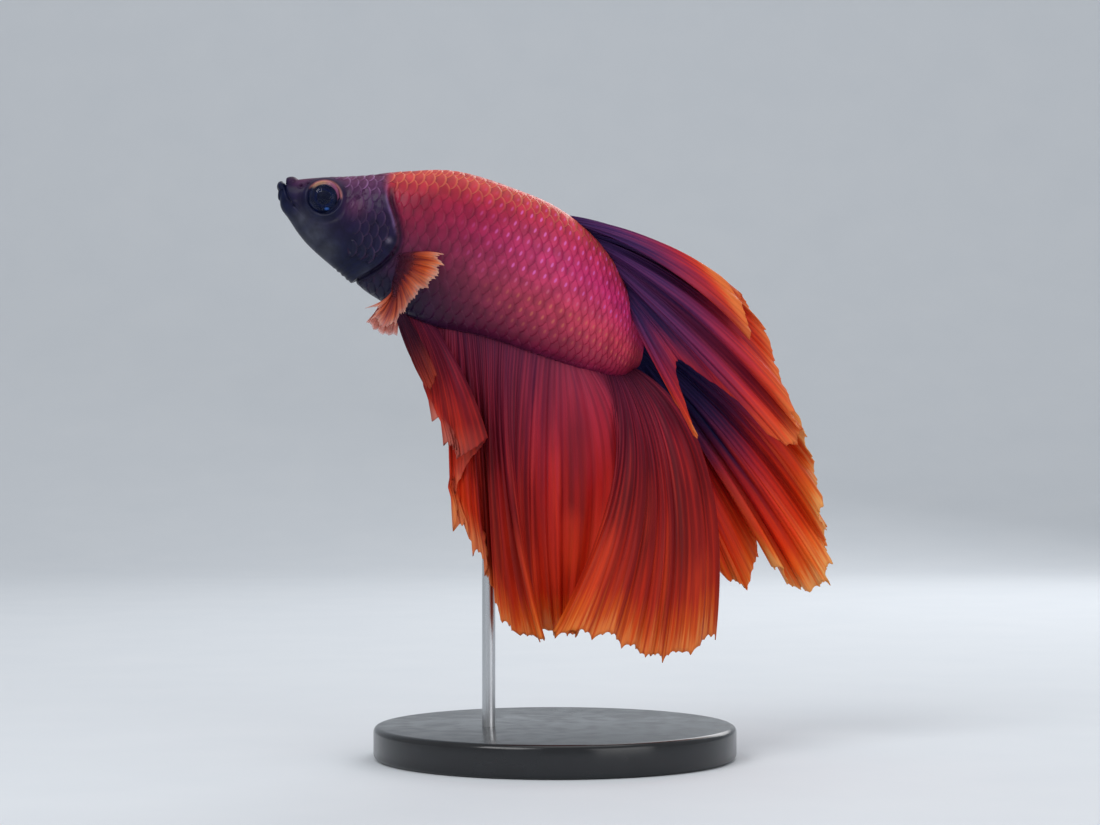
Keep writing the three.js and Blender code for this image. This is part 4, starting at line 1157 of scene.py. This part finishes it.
def makeSteel():
    # drawn stainless rod, fine lines along its length
    material, tree = newMaterial("drawn stainless steel")
    place = addNode(tree, "TexCoord", out="Object")
    lineScale = [repeats(size) for size in stand["lineSize"]]
    stretched = addNode(tree, "Mapping", {"Vector": place, "Scale": lineScale})
    lines = addNode(tree, "TexNoise", {"Vector": stretched, "Scale": 1.0, "Detail": 2})
    bump = addNode(tree, "Bump", {"Strength": 0.2, "Distance": 0.01 * mm, "Height": lines})
    shader = addNode(tree, "BsdfPrincipled", {
        "Base Color": stand["steel"], "Metallic": 1.0, "Normal": bump,
        "Roughness": amountOf(tree, (lines, 0.3, 0.7, 0.22, 0.34))})
    addNode(tree, "OutputMaterial", [shader])
    return material


def cylinderPiece(name, sides, low, high):
    # a standing cylinder that fills a box
    bpy.ops.mesh.primitive_cylinder_add(
        vertices=sides, radius=(high[0] - low[0]) / 2, depth=high[2] - low[2], location=(low + high) / 2)
    piece = bpy.context.object
    piece.name = name
    bpy.ops.object.transform_apply(location=True)
    return piece


def makeStand():
    low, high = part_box("stand_base")
    base = cylinderPiece("acrylic_base", stand["sides"], low, high)
    applyModifier(base, "BEVEL", width=stand["bevel"] * mm, segments=stand["bevelSteps"],
                  limit_method="ANGLE")
    settle(base, makeAcrylic(), "black_acrylic", "stand_base")
    bpy.ops.object.shade_smooth_by_angle(angle=math.radians(stand["smoothUnder"]))
    low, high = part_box("stand_rod")
    rod = cylinderPiece("steel_rod", stand["rodSides"], low, high)
    settle(rod, makeSteel(), "steel_rod", "stand_rod")
    bpy.ops.object.shade_smooth_by_angle(angle=math.radians(stand["smoothUnder"]))
    print("stand")


stage = {
    # in metres
    "floorWidth": 2.4, "floorDepth": 1.4, "wallHeight": 1.2, "bend": 0.3,
    "paper": ["#dfe4ea", "#e5e9ee"], "cloudSize": 16.667,  # millimetres
    "room": "#f2f5f8", "roomLight": 0.45,
    "cameraPlace": (-0.0006, -0.354, 0.0419), "lens": 95.45, "sensor": 36,
    "target": [0, 0, 0.045],
    # place, size and power in watts of each soft lamp, which shine at the target
    "lamps": {
        "key": [(-0.28, -0.38, 0.42), 0.3, 1.4],
        "fill": [(0.4, -0.42, 0.16), 0.4, 0.8],
        "top": [(0.05, 0.02, 0.5), 0.35, 0.4],
        "back": [(0.16, 0.34, 0.24), 0.25, 0.5],
    },
}


def makeBackdrop():
    bpy.ops.mesh.primitive_plane_add(size=1, location=(0, 0, 0))
    floor = bpy.context.object
    floor.name = "floor"
    bpy.ops.object.mode_set(mode="EDIT")
    bpy.ops.transform.resize(value=(stage["floorWidth"], stage["floorDepth"], 1))
    bpy.ops.mesh.select_mode(type="EDGE")
    bpy.ops.mesh.select_all(action="DESELECT")
    bpy.ops.object.mode_set(mode="OBJECT")
    for edge in floor.data.edges:
        edge.select = all(floor.data.vertices[i].co.y > 0 for i in edge.vertices)  # the rear edge
    bpy.ops.object.mode_set(mode="EDIT")
    bpy.ops.mesh.extrude_region_move(TRANSFORM_OT_translate={"value": (0, 0, stage["wallHeight"])})
    bpy.ops.object.mode_set(mode="OBJECT")
    applyModifier(floor, "BEVEL", width=stage["bend"], segments=24, limit_method="ANGLE")
    bpy.ops.object.shade_smooth()
    material, tree = newMaterial("matt paper backdrop")
    place = addNode(tree, "TexCoord", out="Object")
    clouds = addNode(tree, "TexNoise", {"Vector": place, "Scale": repeats(stage["cloudSize"]), "Detail": 3})
    paper = layOver(tree, *stage["paper"], clouds)
    shader = addNode(tree, "BsdfPrincipled", {"Base Color": paper, "Roughness": 0.9})
    addNode(tree, "OutputMaterial", [shader])
    floor.data.materials.append(material)
    print("backdrop")


def makeLights():
    for name, (place, size, power) in stage["lamps"].items():
        bpy.ops.object.light_add(type="AREA", location=place)
        lamp = bpy.context.object
        lamp.name = name + "_lamp"
        lamp.data.energy = power
        lamp.data.size = size
        ahead = np.array(stage["target"]) - place
        pitch = math.atan2(math.hypot(ahead[0], ahead[1]), -ahead[2])
        lamp.rotation_euler = (pitch, 0, math.atan2(-ahead[0], ahead[1]))
    world = bpy.data.worlds.new("soft room")
    bpy.context.scene.world = world
    world.use_nodes = True
    background = world.node_tree.nodes["Background"]
    background.inputs["Color"].default_value = linear(stage["room"])
    background.inputs["Strength"].default_value = stage["roomLight"]
    print("lights")


def makeCamera():
    bpy.ops.object.camera_add(location=stage["cameraPlace"], rotation=(math.pi / 2, 0, 0))
    camera = bpy.context.object
    camera.data.lens = stage["lens"]
    camera.data.sensor_width = stage["sensor"]
    camera.data.clip_start = 0.01
    bpy.context.scene.camera = camera
    bpy.context.scene.view_settings.view_transform = "Standard"
    print("camera")


makeSkin()
makeScales()
makeEyes()
makeFin("dorsal_fin", dorsal, edgeBase(dorsal))
makeFin("caudal_fin", caudal, tailBase)
makeFin("anal_fin", anal, edgeBase(anal))
makeFin("pectoral_fin_left", pectoral, pointBase(pectoral, -1), -1)
makeFin("pectoral_fin_right", pectoral, pointBase(pectoral), 1, pectoral["liftRight"])
makeFin("pelvic_fin_left", pelvicLeft, pointBase(pelvicLeft))
makeFin("pelvic_fin_right", pelvicRight, pointBase(pelvicRight))
makeStand()
makeBackdrop()
makeLights()
makeCamera()
